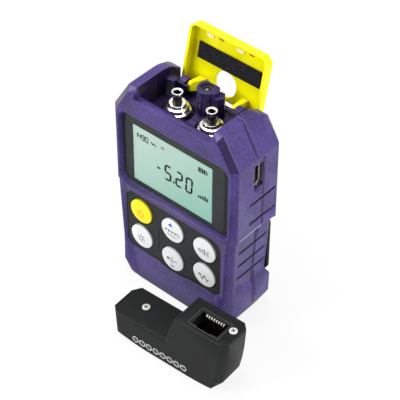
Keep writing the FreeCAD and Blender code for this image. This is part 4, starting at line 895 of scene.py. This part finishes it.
def solid(name: str, plan: Sequence[Point], low: float, high: float, edge: float = 0.0) -> bpy.types.Mesh:
    """An upright prism with a softened top.

    Args:
        name: The mesh's name.
        plan: Its outline in X and Y, anticlockwise, in millimetres.
        low: Its lowest Z.
        high: Its highest Z.
        edge: The width of the bevel round its top.

    Returns:
        The mesh in the row frame.
    """
    work = bmesh.new()
    lower = [work.verts.new(Vector((x, y, low)) * MM) for x, y in plan]
    upper = [work.verts.new(Vector((x, y, high)) * MM) for x, y in plan]
    work.faces.new(lower[::-1])
    work.faces.new(upper)
    for index in range(len(plan)):
        after = (index + 1) % len(plan)
        work.faces.new((lower[index], lower[after], upper[after], upper[index]))
    if edge:
        rim = [e for e in work.edges if all(abs(v.co.z - high * MM) < 1e-9 for v in e.verts)]
        bmesh.ops.bevel(work, geom=rim, offset=edge * MM, segments=2, profile=0.5, affect="EDGES")
    mesh = bpy.data.meshes.new(name)
    work.to_mesh(mesh)
    work.free()
    return mesh


# ---- sub-assemblies --------------------------------------------------------


X_AXIS = Vector((1.0, 0.0, 0.0))
Y_AXIS = Vector((0.0, 1.0, 0.0))
Z_AXIS = Vector((0.0, 0.0, 1.0))


FOOT_PULLS = (
    Pull((0.0, 0.0), (0.0, 0.0)), Pull((7.0, 0.0), (0.0, 0.0)), Pull((11.0, 0.23), (0.5, -0.1)),
    Pull((15.0, 0.93), (1.0, -0.43)), Pull((19.0, 2.08), (1.5, -0.95)), Pull((23.0, 3.7), (2.0, -1.7)),
    Pull((24.9, 6.4), (1.2, -1.6)), Pull((25.7, 14.7), (0.3, 0.0)), Pull((25.3, 10.5), (0.7, -0.5)),
    Pull((18.0, 12.0), (0.0, 0.0)), Pull((10.0, 6.0), (0.0, 0.0)), Pull((22.0, 16.0), (0.0, 0.0)),
)
BACK_PULLS = (
    Pull((12.0, 46.0), (0.0, -1.7)), Pull((7.5, 41.5), (1.7, 0.0)), Pull((7.5, 35.0), (1.7, 0.0)),
    Pull((7.5, 29.0), (1.7, 0.0)), Pull((7.5, 23.0), (1.7, 0.0)), Pull((7.5, 17.2), (1.7, 0.0)),
    Pull((11.2, 13.5), (0.2, 0.0)), Pull((9.6, 2.6), (1.0, 0.8)), Pull((7.8, 0.0), (0.8, 0.0)),
    Pull((12.0, 50.0), (0.0, 0.0)), Pull((4.5, 0.0), (0.0, 0.0)), Pull((4.5, 8.0), (0.0, 0.0)),
    Pull((4.5, 16.0), (0.0, 0.0)), Pull((4.5, 44.0), (0.0, 0.0)),
)


@dataclass
class Housing:
    """The two violet shells with the battery door and the fasteners."""

    wardrobe: Wardrobe
    shoulder: tuple[Point, ...] = ((76.7, 0.0), (88.4, -0.5))
    shoulder_lean: Point = (0.871, 0.491)
    half_width: float = 27.9
    skin_depth: float = 2.5
    waist_top: float = 50.0
    foot_top: float = 16.0
    door_shift: float = 1.7
    crown: tuple[Point, ...] = ((2.0, 0.0), (4.0, 0.15), (6.0, 0.6), (8.0, 1.3), (9.5, 1.0), (12.0, 0.0))
    crown_peak: float = 8.0
    wing_low: float = 84.3
    back_start: float = 5.2
    bay_half: float = 19.4
    bay_floor: float = 77.7
    torch_top: float = 88.1
    torch_step_top: float = 86.4
    block_edge: float = 0.35
    groove_width: float = 0.95
    groove_length: float = 13.3
    upper_grooves: tuple[float, ...] = (49.2, 57.7)
    lower_grooves: tuple[float, ...] = (23.1, 29.6, 36.1)
    seams: tuple[tuple[Point, Point], ...] = (
        ((-0.45, 87.0), (-0.45, 77.6)), ((2.7, 75.9), (2.7, 45.2)), ((1.55, 43.2), (1.55, 6.5)),
    )
    # The run of the painted highlight along the waist's step.
    step_highlight: tuple[Point, Point] = ((-9.2, 44.75), (2.5, 44.75))
    socket: Point = (0.4, 68.7)

    def shell_move(self, place: Vector) -> Vector:
        """Round the shoulders, fill out the foot and draw the waist's back out.

        Args:
            place: A point of a shell in millimetres.

        Returns:
            Where it goes.
        """
        x, y, z = abs(place.x), place.y, place.z
        side = math.copysign(1.0, place.x)
        lean_x, lean_z = self.shoulder_lean
        inset = (x - self.half_width) * lean_x + (z - self.shoulder[0][0]) * lean_z
        if z > self.shoulder[0][0] and inset > -self.skin_depth:
            x += between(z, self.shoulder)
        if z > self.wing_low:
            z -= between(y, self.crown)
        if z < self.foot_top:
            across, up = drawn((x, z), FOOT_PULLS)
            x, z = x + across, max(0.0, z + up)
        if place.z < self.waist_top and y > self.back_start:
            back, up = drawn((y, place.z), BACK_PULLS)
            y, z = y + back, max(0.0, z + up)
        return Vector((side * x, y, z))

    def _shells(self) -> None:
        """Replace the shells by their finer shapes."""
        slices = tuple(((0.0, y, 0.0), (0.0, 1.0, 0.0)) for y, _ in self.crown if y != self.crown_peak)
        for name in ("front_shell", "rear_shell"):
            node = self.wardrobe.nodes[name]
            mesh = Reshaped(node, self.shell_move, slices).mesh()
            made = self.wardrobe.piece(f"{name}_fine", mesh, VIOLET, "housing", "purple_plastic")
            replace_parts(made, name)
            mesh.materials.append(self.wardrobe.material(VIOLET_RECESS_SHADE))
            mesh.materials.append(self.wardrobe.material(VIOLET_SHADE))
            for face in mesh.polygons:
                x, y, z = face.center / MM
                # The bay's walls take the nearly black violet, as painted shade.
                shaded_wall = abs(x) < self.bay_half and -7.5 < y < 9.6 and z > 77.8
                # The front bevels of the shoulders take the darker copy of the violet, as painted shade.
                shaded_bevel = z > 76.0 and y < -9.5 and abs(face.normal.x) > 0.3 and face.normal.y < -0.3
                if shaded_wall and abs(face.normal.z) < 0.5:
                    face.material_index = 1
                elif shaded_bevel:
                    face.material_index = 2
            self._groove_shade(name, made)
            if name == "front_shell":
                self._edge_lines(made)

    def _flanks(self, shell: bpy.types.Object) -> list[tuple[float, str, Skin]]:
        """The right and left flanks of a shell as skins: side, label and skin."""
        return [
            (side, label, Skin(shell, Vector((side * self.half_width, 0.0, 0.0)) * MM, Y_AXIS * side, Z_AXIS))
            for side, label in ((1.0, "right"), (-1.0, "left"))
        ]

    def _groove_shade(self, name: str, shell: bpy.types.Object) -> None:
        """Lay painted shade on the floors of the finger grooves of a shell, with a round dot at each groove's
        front end.

        Args:
            name: The shell's CAD node.
            shell: The shell.
        """
        front = name == "front_shell"
        rows = [(z, -3.8, 3.1) for z in self.upper_grooves] + [(z, -6.8, 2.0) for z in self.lower_grooves]
        strokes: list[Stroke] = []
        for z, start, parting in rows:
            if front:
                strokes.append(line(self.groove_width, (start + 0.4, z), (parting - 0.2, z)))
                strokes.append(disc(0.75, (start + 0.55, z)))
            else:
                strokes.append(line(self.groove_width, (parting + 0.45, z), (start + self.groove_length, z)))
        for side, label, skin in self._flanks(shell):
            placed = [
                Stroke(tuple((side * y, z) for y, z in stroke.points), stroke.widths, stroke.closed)
                for stroke in strokes
            ]
            piece_name = f"{name}_groove_floors_{label}"
            mesh = Marking(skin, 0.03, 0.8).mesh(piece_name, placed)
            self.wardrobe.piece(piece_name, mesh, VIOLET_RECESS_SHADE, "housing", "purple_plastic")

    def _edge_lines(self, shell: bpy.types.Object) -> None:
        """Mark the parting line and lay a painted highlight along the edge of the waist's step on both
        flanks.

        Args:
            shell: The front shell.
        """
        for side, label, skin in self._flanks(shell):
            for name, width, runs, finish in (
                (f"parting_line_{label}", 0.34, self.seams, SEAM),
                (f"step_line_{label}", 0.3, (self.step_highlight,), VIOLET_HIGHLIGHT),
            ):
                strokes = [line(width, (side * a, z0), (side * b, z1)) for (a, z0), (b, z1) in runs]
                mesh = Marking(skin, 0.02, 0.8).mesh(name, strokes)
                self.wardrobe.piece(name, mesh, finish, "housing", "purple_plastic")

    def _socket_bezel(self) -> None:
        """The dark ring that fills the socket's recess, with a bright lip."""
        for name, outer, inner, low, high, finish, slot in (
            ("socket_bezel", (10.5, 4.7), (9.3, 3.6), 26.35, 27.15, BLACK, "black_plastic"),
            ("socket_lip", (9.0, 3.3), (8.6, 2.9), 26.5, 26.9, STEEL, "steel"),
        ):
            big, small = self._oval(*outer), self._oval(*inner)
            points, faces, count = [], [], len(big)
            for x in (low, high):
                for ring in (big, small):
                    points += [(x * MM, y * MM, z * MM) for y, z in ring]
            for k in range(count):
                n = (k + 1) % count
                faces += [
                    (2 * count + k, 2 * count + n, 3 * count + n, 3 * count + k),
                    (k, count + k, count + n, n),
                    (k, n, 2 * count + n, 2 * count + k),
                    (count + k, 3 * count + k, 3 * count + n, count + n),
                ]
            mesh = bpy.data.meshes.new(name)
            mesh.from_pydata(points, [], faces)
            mesh.validate()
            self.wardrobe.piece(name, mesh, finish, "housing", slot)

    def _oval(self, length: float, width: float) -> list[Point]:
        """A round-ended outline around the socket's middle, in Y and Z."""
        radius, reach = width / 2, (length - width) / 2
        middle_y, middle_z = self.socket
        ends = []
        for index in range(24):
            angle = math.pi * (index + 0.5) / 12.0
            lift = reach if index < 12 else -reach
            ends.append((middle_y + radius * math.cos(angle), middle_z + lift + radius * math.sin(angle)))
        return ends

    def _door_move(self, place: Vector) -> Vector:
        """Shift the door back and draw its lower edge down to the collar."""
        drop = self.door_shift if place.z < 21.5 and place.y > 8.0 else 0.0
        return place + Vector((0.0, self.door_shift, -drop))

    def _door(self) -> None:
        """Move the battery door and its screws out with the waist's back."""
        for name, finish, slot in (
            ("battery_door", BLACK, "black_plastic"), ("battery_door_screws", STEEL, "steel")
        ):
            mesh = Reshaped(self.wardrobe.nodes[name], self._door_move, smooth=8.0).mesh()
            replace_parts(self.wardrobe.piece(f"{name}_fine", mesh, finish, "housing", slot), name)

    def _torch_blocks(self) -> None:
        """The shoulder and the step that join the torch to the bay's back."""
        shoulder = [(2.9, 4.4), (3.9, 4.6), (4.55, 6.4), (4.2, 7.8), (3.4, 8.8), (1.6, 9.1), (2.9, 7.4)]
        corner = [(-3.3, 6.4), (-2.9, 7.4), (-1.6, 8.9), (-2.8, 8.5)]
        step = [(3.6, 4.8), (5.4, 4.8), (6.8, 7.0), (5.4, 9.1), (3.6, 9.1)]
        for name, plan, high in (
            ("torch_shoulder", shoulder, self.torch_top),
            ("torch_corner", corner, self.torch_top),
            ("torch_step", step, self.torch_step_top),
        ):
            mesh = solid(name, plan, self.bay_floor, high, self.block_edge)
            self.wardrobe.piece(name, mesh, VIOLET_DARK, "housing", "purple_plastic")

    def build(self) -> None:
        """Dress the shells, the door and what is inside."""
        self._shells()
        self._door()
        self._torch_blocks()
        self._socket_bezel()
        self.wardrobe.dress(VIOLET_DARK, "torch_housing")
        self.wardrobe.dress(STEEL, "case_screws")
        self.wardrobe.dress(BOARD, "main_board")
        self.wardrobe.dress(WRAP, "battery_pack")
        self.wardrobe.dress(CAN, "photodiode_module", "laser_module")
        self.wardrobe.dress(SWITCH, "key_switches", "usb_tongue")
        self.wardrobe.dress(STEEL, "usb_shell")
        self.wardrobe.dress(LAMP, "torch_lamp")


@dataclass
class Display:
    """The window, its printed surround and the liquid crystal with its figures."""

    wardrobe: Wardrobe
    reading: str = "-5.20"
    reading_low: float = 54.7
    reading_height: float = 6.3
    figure_places: tuple[float, ...] = (-8.2, -3.9, 1.2, 5.75)
    figure_width: float = 2.5
    figure_weight: float = 0.86
    dash_width: float = 1.9

    def _big_reading(self) -> list[Stroke]:
        """The large figures with their point."""
        font = SegmentFont(self.figure_width, self.reading_height, self.figure_weight)
        dash = SegmentFont(self.dash_width, self.reading_height, self.figure_weight)
        middle = self.reading_low + self.reading_height / 2
        strokes: list[Stroke] = []
        figures = [figure for figure in self.reading if figure != "."]
        for figure, x in zip(figures, self.figure_places):
            chosen = dash if figure == "-" else font
            strokes += moved(chosen.figure(figure), (x, middle))
        strokes.append(disc(0.5, (-1.3, self.reading_low + 0.4)))
        return strokes

    @staticmethod
    def _small_reading() -> list[Stroke]:
        """The small figures of the wavelength."""
        font = SegmentFont(1.15, 2.2, 0.4, gap=0.0)
        strokes: list[Stroke] = []
        for figure, x in zip("1490", (-18.5, -17.0, -15.3, -13.6)):
            strokes += moved(font.figure(figure), (x, 67.3))
        return strokes

    @staticmethod
    def _signs() -> list[Stroke]:
        """The wave sign, the ring sign and the battery sign."""
        wave = [(-11.6 + 0.22 * step, 67.1 + 0.35 * math.sin(step * math.pi / 2.5)) for step in range(11)]
        strokes = [line(0.42, *wave), arc(0.26, 0.5, 0, 360, (-6.3, 67.7))]
        strokes.append(line(0.28, (9.9, 67.1), (13.7, 67.1), (13.7, 68.8), (9.9, 68.8), closed=True))
        strokes.append(line(0.35, (13.95, 67.65), (13.95, 68.25)))
        strokes += [line(0.8, (10.6 + 1.05 * bar, 67.3), (10.6 + 1.05 * bar, 68.6)) for bar in range(3)]
        return strokes

    @staticmethod
    def _level_sign() -> list[Stroke]:
        """The level sign at the lower right of the reading."""
        strokes = [line(0.34, (9.7, 55.3), (14.4, 55.3))]
        heights = (0.6, 0.9, 1.25, 1.7, 1.2)
        for k, height in enumerate(heights):
            x = 10.1 + 0.97 * k
            strokes.append(line(0.62, (x, 55.5), (x, 55.5 + height)))
        return strokes

    def build(self) -> None:
        """Dress the stack and lay the figures on the liquid crystal."""
        self.wardrobe.dress(WINDOW, "display_lens")
        self.wardrobe.dress(PRINT, "display_mask")
        self.wardrobe.dress(SCREEN, "lcd_panel")
        self.wardrobe.dress(GUIDE, "lcd_backlight")
        panel = self.wardrobe.nodes["lcd_panel"]
        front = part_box("lcd_panel")[0].y
        skin = Skin(panel, Vector((0.0, front, 0.0)), X_AXIS, Z_AXIS)
        marking = Marking(skin, 0.03, 2.0)
        for name, strokes, ink in (
            ("lcd_reading", self._big_reading(), INK_DARK),
            ("lcd_wavelength", self._small_reading(), INK_DARK),
            ("lcd_signs", self._signs(), INK_DARK),
            ("lcd_level_sign", self._level_sign(), INK_DARK),
        ):
            self.wardrobe.piece(name, marking.mesh(name, strokes), ink, "housing", "liquid_crystal")


class KeySign(Enum):
    """What is printed on a key."""

    POWER = "power"
    LIGHT = "light"
    UP = "up"
    DOWN = "down"
    TORCH = "torch"
    WAVELENGTH = "wavelength"


@dataclass(frozen=True)
class Key:
    """One key: its node, body, middle and sign."""

    node: str
    body: str
    x: float
    z: float
    sign: KeySign


def sign_strokes(sign: KeySign) -> list[tuple[str, Finish, list[Stroke]]]:
    """The printed signs of a key, around the key's middle.

    Args:
        sign: Which sign.

    Returns:
        The name, ink and strokes of each print.
    """
    if sign is KeySign.POWER:
        ring = arc(0.3, 1.35, 125, 415, (-0.1, -0.9))
        return [("ring", INK_ORANGE, [ring, line(0.3, (-0.1, 1.0), (-0.1, -0.9))])]
    if sign is KeySign.LIGHT:
        rays = [
            line(0.26, (1.35 * math.cos(a), 1.35 * math.sin(a)), (2.0 * math.cos(a), 2.0 * math.sin(a)))
            for a in (math.radians(45 * k) for k in range(8))
        ]
        return [("sun", INK_DARK, moved([arc(0.28, 0.85, 0, 360)] + rays, (0.0, -0.6)))]
    if sign is KeySign.UP:
        arrow = [Stroke(((-0.6, 1.9), (-0.6, 3.4)), (2.3, 0.05))]
        scale = [line(0.3, (-3.0, -0.2), (3.0, -0.2)), line(0.3, (-2.2, -2.4), (2.2, -2.4))]
        ticks = [line(0.3, (-3.0 + 1.5 * k, -0.2), (-3.0 + 1.5 * k, -1.4)) for k in range(5)]
        return [("arrow", INK_BLUE, arrow), ("scale", INK_DARK, scale + ticks)]
    if sign is KeySign.DOWN:
        beam = [disc(0.6, (-1.9, -0.2)), line(0.3, (-0.9, -0.2), (2.3, -0.2))]
        beam += [line(0.26, (-0.8, 0.5), (0.6, 1.2)), line(0.26, (-0.8, -0.9), (0.6, -1.6))]
        return [
            ("beam", INK_DARK, beam),
            ("arrow", INK_BLUE, [Stroke(((0.0, -3.0), (0.0, -3.9)), (2.0, 0.05))]),
        ]
    if sign is KeySign.TORCH:
        outline = ((-2.3, -0.45), (-0.5, -0.45), (0.5, -1.1), (0.5, 1.1), (-0.5, 0.45), (-2.3, 0.45))
        body = [line(0.32, *outline, closed=True)]
        rays = [line(0.28, (1.2, 0.55 * k), (2.4, 1.1 * k)) for k in (-1, 0, 1)]
        return [("torch", INK_DARK, moved(body + rays, (0.0, -0.6)))]
    wave = [(-2.2 + 0.22 * k, -0.8 + 1.1 * math.sin(k * math.pi / 5.0)) for k in range(21)]
    return [("wave", INK_DARK, [line(0.36, *wave)])]


@dataclass
class Keypad:
    """The charcoal panel and its six round keys."""

    wardrobe: Wardrobe
    keys: tuple[Key, ...] = (
        Key("key_power", "power_key", -14.9, 34.7, KeySign.POWER),
        Key("key_light", "light_key", -14.9, 22.46, KeySign.LIGHT),
        Key("key_up", "up_key", 0.0, 34.7, KeySign.UP),
        Key("key_down", "down_key", 0.0, 20.56, KeySign.DOWN),
        Key("key_torch", "torch_key", 14.9, 34.7, KeySign.TORCH),
        Key("key_wavelength", "wavelength_key", 14.9, 22.46, KeySign.WAVELENGTH),
    )

    def build(self) -> None:
        """Dress the panel and the keys, and print the signs."""
        self.wardrobe.dress(CHARCOAL, "keypad_panel")
        self.wardrobe.dress(YELLOW_RUBBER, "key_power")
        self.wardrobe.dress(WHITE_RUBBER, "key_light", "key_up", "key_down", "key_torch", "key_wavelength")
        for key in self.keys:
            slot = "yellow_rubber" if key.sign is KeySign.POWER else "white_rubber"
            skin = Skin(self.wardrobe.nodes[key.node], Vector((key.x, -12.5, key.z)) * MM, X_AXIS, Z_AXIS)
            for part, ink, strokes in sign_strokes(key.sign):
                name = f"{key.node}_{part}"
                mesh = Marking(skin, 0.02, 0.35).mesh(name, strokes)
                self.wardrobe.piece(name, mesh, ink, key.body, slot)
        panel = Skin(self.wardrobe.nodes["keypad_panel"], Vector((0.0, -11.65, 0.0)) * MM, X_AXIS, Z_AXIS)
        seam = Marking(panel, 0.03, 0.6).mesh("keypad_seam", [line(0.28, (-6.9, 30.9), (-6.9, 20.6))])
        self.wardrobe.piece("keypad_seam", seam, SEAM, "housing", "charcoal_plastic")


@dataclass
class Ports:
    """The two ferrule ports with their plated nuts."""

    wardrobe: Wardrobe
    nut_lift: float = 1.6

    def build(self) -> None:
        """Dress the nuts and sleeves."""
        lift = Vector((0.0, 0.0, self.nut_lift))
        for name in ("power_port_nut", "fault_port_nut"):
            mesh = Reshaped(self.wardrobe.nodes[name], lambda place: place + lift).mesh()
            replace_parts(self.wardrobe.piece(f"{name}_fine", mesh, PLATED, "housing", "plated_nickel"), name)
        self.wardrobe.dress(SLEEVE, "power_port_sleeve", "fault_port_sleeve")


@dataclass
class Cover:
    """The yellow port cover with its foam strip and the details of its inner face."""

    wardrobe: Wardrobe
    hinge: Point = (9.2, 81.9)
    open_angle: float = 102.4
    inner_face: float = 87.2
    relief: float = 0.2
    arm_inner: float = 9.1
    slide: float = 0.3
    hole_stretch: float = 1.17
    hole_reach: tuple[float, float, float] = (5.0, 0.5, 11.0)
    plate_half: float = 16.8
    back_edge: float = 10.6
    back_shift: float = 0.6

    def opened(self, place: Vector) -> Vector:
        """A point of the shut cover, in millimetres, where it is when the cover is open."""
        return self._turned(place, -self.open_angle)

    def shut(self, place: Vector) -> Vector:
        """A point of the open cover, in millimetres, where it is when the cover is shut."""
        return self._turned(place, self.open_angle)

    def _turned(self, place: Vector, angle: float) -> Vector:
        """A point turned about the hinge."""
        c, s = math.cos(math.radians(angle)), math.sin(math.radians(angle))
        y, z = place.y - self.hinge[0], place.z - self.hinge[1]
        return Vector((place.x, self.hinge[0] + y * c - z * s, self.hinge[1] + y * s + z * c))

    def _slimmed(self, place: Vector) -> Vector:
        """Slim the hinge arms, widen the hole to the right and shift the plate's edges."""
        flat = self.shut(place)
        under = flat.z < self.inner_face - 0.1
        if under and 6.5 < abs(flat.x) < self.arm_inner:
            return Vector((math.copysign(self.arm_inner, flat.x), place.y, place.z))
        if under and abs(flat.x) < 13.0:
            return place
        across, front, back = self.hole_reach
        if abs(flat.x) < across and front < flat.y < back:
            flat.x *= self.hole_stretch if flat.x > 0.0 else 1.0
            return self.opened(flat)
        flat.x += self.slide * min(1.0, 0.2 + 0.8 * (flat.x + self.plate_half) / 4.8)
        if flat.y > self.back_edge:
            flat.y += self.back_shift
        return self.opened(flat)

    def _strip_move(self, place: Vector) -> Vector:
        """Shift the foam strip with the plate and a little towards its front edge."""
        flat = self.shut(place)
        return self.opened(flat + Vector((0.7, -0.7, 0.0)))

    def _pad(self, name: str, centre: Point, size: Point, finish: Finish) -> None:
        """A small flat pad on the inner face.

        Args:
            name: Its name.
            centre: Its middle in X and Y when the cover is shut.
            size: Its width and length.
            finish: Its finish.
        """
        (x, y), (w, d) = centre, (size[0] / 2, size[1] / 2)
        plan = [(x - w, y - d), (x + w, y - d), (x + w, y + d), (x - w, y + d)]
        mesh = solid(name, plan, self.inner_face - self.relief, self.inner_face + self.relief)
        for vertex in mesh.vertices:
            vertex.co = self.opened(vertex.co / MM) * MM
        self.wardrobe.piece(name, mesh, finish, "cover", "yellow_plastic")

    def build(self) -> None:
        """Dress the cover, lay its pale pads and the pads of painted shade in its notches and corner."""
        for name, move, finish, slot in (
            ("port_cover", self._slimmed, YELLOW, "yellow_plastic"),
            ("cover_foam", self._strip_move, FOAM, "black_foam"),
        ):
            mesh = Reshaped(self.wardrobe.nodes[name], move).mesh()
            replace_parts(self.wardrobe.piece(f"{name}_fine", mesh, finish, "cover", slot), name)
        for index, x in enumerate((-9.0, 4.1)):
            self._pad(f"cover_pad_{index}", (x, -8.9), (3.1, 1.3), YELLOW_PALE)
            # The notches and the corner get orange-brown pads of painted shade.
            self._pad(f"cover_notch_{index}", (x + 4.7, -10.0), (2.0, 1.8), AMBER_SHADE)
        self._pad("cover_corner_hollow_shade", (-15.0, -10.6), (0.9, 1.0), AMBER_SHADE)


@dataclass
class Remote:
    """The black cable test remote with its jack, screws and numbered lamps."""

    wardrobe: Wardrobe
    x: float = 19.4
    y: float = -30.1
    yaw: float = 3.0
    lamp_first: float = -14.7
    lamp_pitch: float = 3.1
    lamp_z: float = 2.9
    jack_x: float = 14.2
    screws: tuple[Point3, ...] = ((-16.2, 1.2, 20.0), (22.3, 1.2, 50.0))
    taper: tuple[Point, ...] = (
        (0.0, -3.4), (1.5, -3.3), (5.0, -2.4), (10.0, -1.4), (16.0, -0.6), (25.6, 0.0),
    )

    def _placed(self, place: Vector) -> Vector:
        """A point of the remote's own frame, in millimetres, in the row frame."""
        turn = Matrix.Rotation(math.radians(self.yaw), 3, "Z")
        return turn @ place + Vector((self.x, self.y, 0.0))

    def _levels(self) -> tuple[tuple[Point3, Point3], ...]:
        """The heights at which the case is cut before it is tapered."""
        return tuple(((0.0, 0.0, z), (0.0, 0.0, 1.0)) for z in (3.0, 5.0, 10.0, 16.0))

    def _tapered(self, place: Vector) -> Vector:
        """Draw the high end in towards its foot and the low end out towards its top."""
        back = Matrix.Rotation(math.radians(-self.yaw), 3, "Z")
        own = back @ (place - Vector((self.x, self.y, 0.0)))
        if own.x > 19.5:
            own.x += between(own.z, self.taper) * min(1.0, (own.x - 19.5) / 3.0)
        if own.x < -20.0:
            own.x -= 0.7 * min(1.0, own.z / 11.9)
        if own.y > 5.2 and own.x < 3.0:
            own.y += 1.1
        return self._placed(own)

    def build(self) -> None:
        """Dress the remote and ring its lamps."""
        for name in ("remote_case", "remote_low_lid", "remote_high_lid"):
            mesh = Reshaped(self.wardrobe.nodes[name], self._tapered, self._levels()).mesh()
            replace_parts(self.wardrobe.piece(f"{name}_fine", mesh, BLACK, "remote", "black_plastic"), name)
        self.wardrobe.dress(BLACK, "remote_jack_insert")
        self.wardrobe.dress(SHIELD, "remote_jack_shield")
        self.wardrobe.dress(ZINC, "remote_screws")
        self.wardrobe.dress(GOLD, "remote_jack_contacts")
        self.wardrobe.dress(BOARD, "remote_board")
        self.wardrobe.dress(LAMP_DARK, "remote_lamps")
        turn = Matrix.Rotation(math.radians(self.yaw), 3, "Z")
        across = turn @ X_AXIS
        origin = Vector((self.x, self.y, 0.0)) * MM
        skin = Skin(self.wardrobe.nodes["remote_case"], origin, across, Z_AXIS)
        rings = [
            arc(0.3, 1.2, 0, 360, (self.lamp_first + self.lamp_pitch * k, self.lamp_z)) for k in range(8)
        ]
        mesh = Marking(skin, 0.03, 0.5).mesh("remote_lamp_rings", rings)
        self.wardrobe.piece("remote_lamp_rings", mesh, INK_WHITE, "remote", "lamp_white")
        heads = Skin(self.wardrobe.nodes["remote_screws"], Vector((0.0, 0.0, 0.0)), X_AXIS, Y_AXIS, 60.0)
        for index, (u, v, angle) in enumerate(self.screws):
            centre = self._placed(Vector((u, v, 0.0)))
            # A dark cross on each screw head is painted shade of its cross recess.
            cross = [line(0.36, (-0.85, 0.0), (0.85, 0.0)), line(0.36, (0.0, -0.85), (0.0, 0.85))]
            mesh = Marking(heads, 0.02, 0.5).mesh("cross", moved(cross, (centre.x, centre.y), 1.0, angle))
            self.wardrobe.piece(f"remote_screw_cross_{index}", mesh, SEAM, "remote", "steel")
        for index in range(8):
            u = self.jack_x + 1.02 * (index - 3.5)
            corners = [(u - 0.2, 1.55), (u + 0.2, 1.55), (u + 0.2, 2.25), (u - 0.2, 2.25)]
            plan = [self._placed(Vector((x, y, 0.0))) for x, y in corners]
            mesh = solid(f"jack_contact_end_{index}", [(point.x, point.y) for point in plan], 24.2, 24.9)
            self.wardrobe.piece(f"jack_contact_end_{index}", mesh, CONTACT, "remote", "gold_contact")


# ---- room, light and camera ------------------------------------------------


@dataclass
class Studio:
    """A pale sweep, soft lamps and the camera."""

    place: tuple[float, float, float] = (0.25361, -0.28976, 0.39584)
    azimuth: float = 40.9312
    elevation: float = 42.6563
    roll: float = 0.3131
    lens: float = 133.2
    floor_size: float = 6.0
    ambient: float = 0.42

    def _floor(self) -> bpy.types.Object:
        """The floor, white to the camera and still shaded by the object."""
        half = self.floor_size / 2
        mesh = bpy.data.meshes.new("floor")
        corners = [(-half, -half, 0.0), (half, -half, 0.0), (half, half, 0.0), (-half, half, 0.0)]
        mesh.from_pydata(corners, [], [(0, 1, 2, 3)])
        floor = bpy.data.objects.new("floor", mesh)
        bpy.context.scene.collection.objects.link(floor)
        material, graph = new_material("pale_floor")
        matte = graph.node("ShaderNodeBsdfDiffuse", None, {0: (0.86, 0.86, 0.86, 1.0)})
        bright = graph.node("ShaderNodeEmission", None, {0: (1.0, 1.0, 1.0, 1.0), 1: 1.0})
        seen = graph.node("ShaderNodeLightPath", output="Is Camera Ray")
        seen = seen | graph.node("ShaderNodeLightPath", output="Is Transmission Ray")
        seen = seen | graph.node("ShaderNodeLightPath", output="Is Glossy Ray")
        both = graph.node("ShaderNodeMixShader", None, {0: seen * 0.86, 1: matte, 2: bright})
        graph.node("ShaderNodeOutputMaterial", None, {0: both})
        mesh.materials.append(material)
        floor.location.z = -0.00002
        return floor

    def _world(self) -> None:
        """A plain pale world that reads as white where it is seen or mirrored."""
        world = bpy.data.worlds.new("studio")
        world.use_nodes = True
        bpy.context.scene.world = world
        graph = Graph(world.node_tree)
        seen = graph.node("ShaderNodeLightPath", output="Is Camera Ray")
        seen = seen | graph.node("ShaderNodeLightPath", output="Is Transmission Ray")
        seen = seen | graph.node("ShaderNodeLightPath", output="Is Glossy Ray")
        strength = self.ambient + seen * (1.0 - self.ambient)
        light = graph.node("ShaderNodeBackground", None, {0: (1.0, 1.0, 1.0, 1.0), 1: strength})
        graph.node("ShaderNodeOutputWorld", None, {0: light})

    @staticmethod
    def _lamp(name: str, place: Point3, target: Point3, size: float, power: float) -> None:
        """One soft square lamp.

        Args:
            name: The lamp's name.
            place: Where it hangs, in metres.
            target: What it points at.
            size: Its width.
            power: Its power in watts.
        """
        light = bpy.data.lights.new(name, "AREA")
        light.shape = "SQUARE"
        light.size = size
        light.energy = power
        lamp = bpy.data.objects.new(name, light)
        bpy.context.scene.collection.objects.link(lamp)
        lamp.location = place
        aim = Vector(target) - Vector(place)
        lamp.rotation_euler = aim.to_track_quat("-Z", "Y").to_euler()

    def _camera(self) -> None:
        """The camera at the fitted place and angle."""
        az, el, roll = (math.radians(v) for v in (self.azimuth, self.elevation, self.roll))
        back = Vector((math.sin(az) * math.cos(el), -math.cos(az) * math.cos(el), math.sin(el)))
        right = (-back).cross(Z_AXIS).normalized()
        up = right.cross(-back)
        c, s = math.cos(roll), math.sin(roll)
        right, up = right * c + up * s, up * c - right * s
        data = bpy.data.cameras.new("camera")
        data.lens = self.lens
        data.sensor_width = 36.0
        data.clip_start = 0.01
        camera = bpy.data.objects.new("camera", data)
        bpy.context.scene.collection.objects.link(camera)
        matrix = Matrix((right, up, back)).transposed().to_4x4()
        matrix.translation = Vector(self.place)
        camera.matrix_world = matrix
        bpy.context.scene.camera = camera

    def build(self) -> None:
        """Set the room, the lamps and the camera."""
        bpy.context.scene.view_settings.view_transform = "Standard"
        self._floor()
        self._world()
        self._lamp("key_lamp", (0.92, 0.12, 0.3), (0.0, 0.0, 0.05), 0.4, 5.5)
        self._lamp("top_lamp", (-0.15, 0.05, 0.95), (0.0, 0.0, 0.05), 0.5, 6.0)
        self._lamp("front_lamp", (-0.5, -0.7, 0.55), (0.0, 0.0, 0.05), 0.35, 6.0)
        self._camera()
        LOG.info("studio: floor, world, three lamps and camera")


def main() -> None:
    """Dress the frame, add the marks and set the studio."""
    logging.basicConfig(level=logging.INFO, format="%(name)s %(message)s")
    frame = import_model()
    wardrobe = Wardrobe(frame["nodes"])
    for part in (Housing, Display, Keypad, Ports, Cover, Remote):
        part(wardrobe).build()
        LOG.info("%s done", part.__name__)
    Studio().build()


if __name__ == "__main__":
    main()
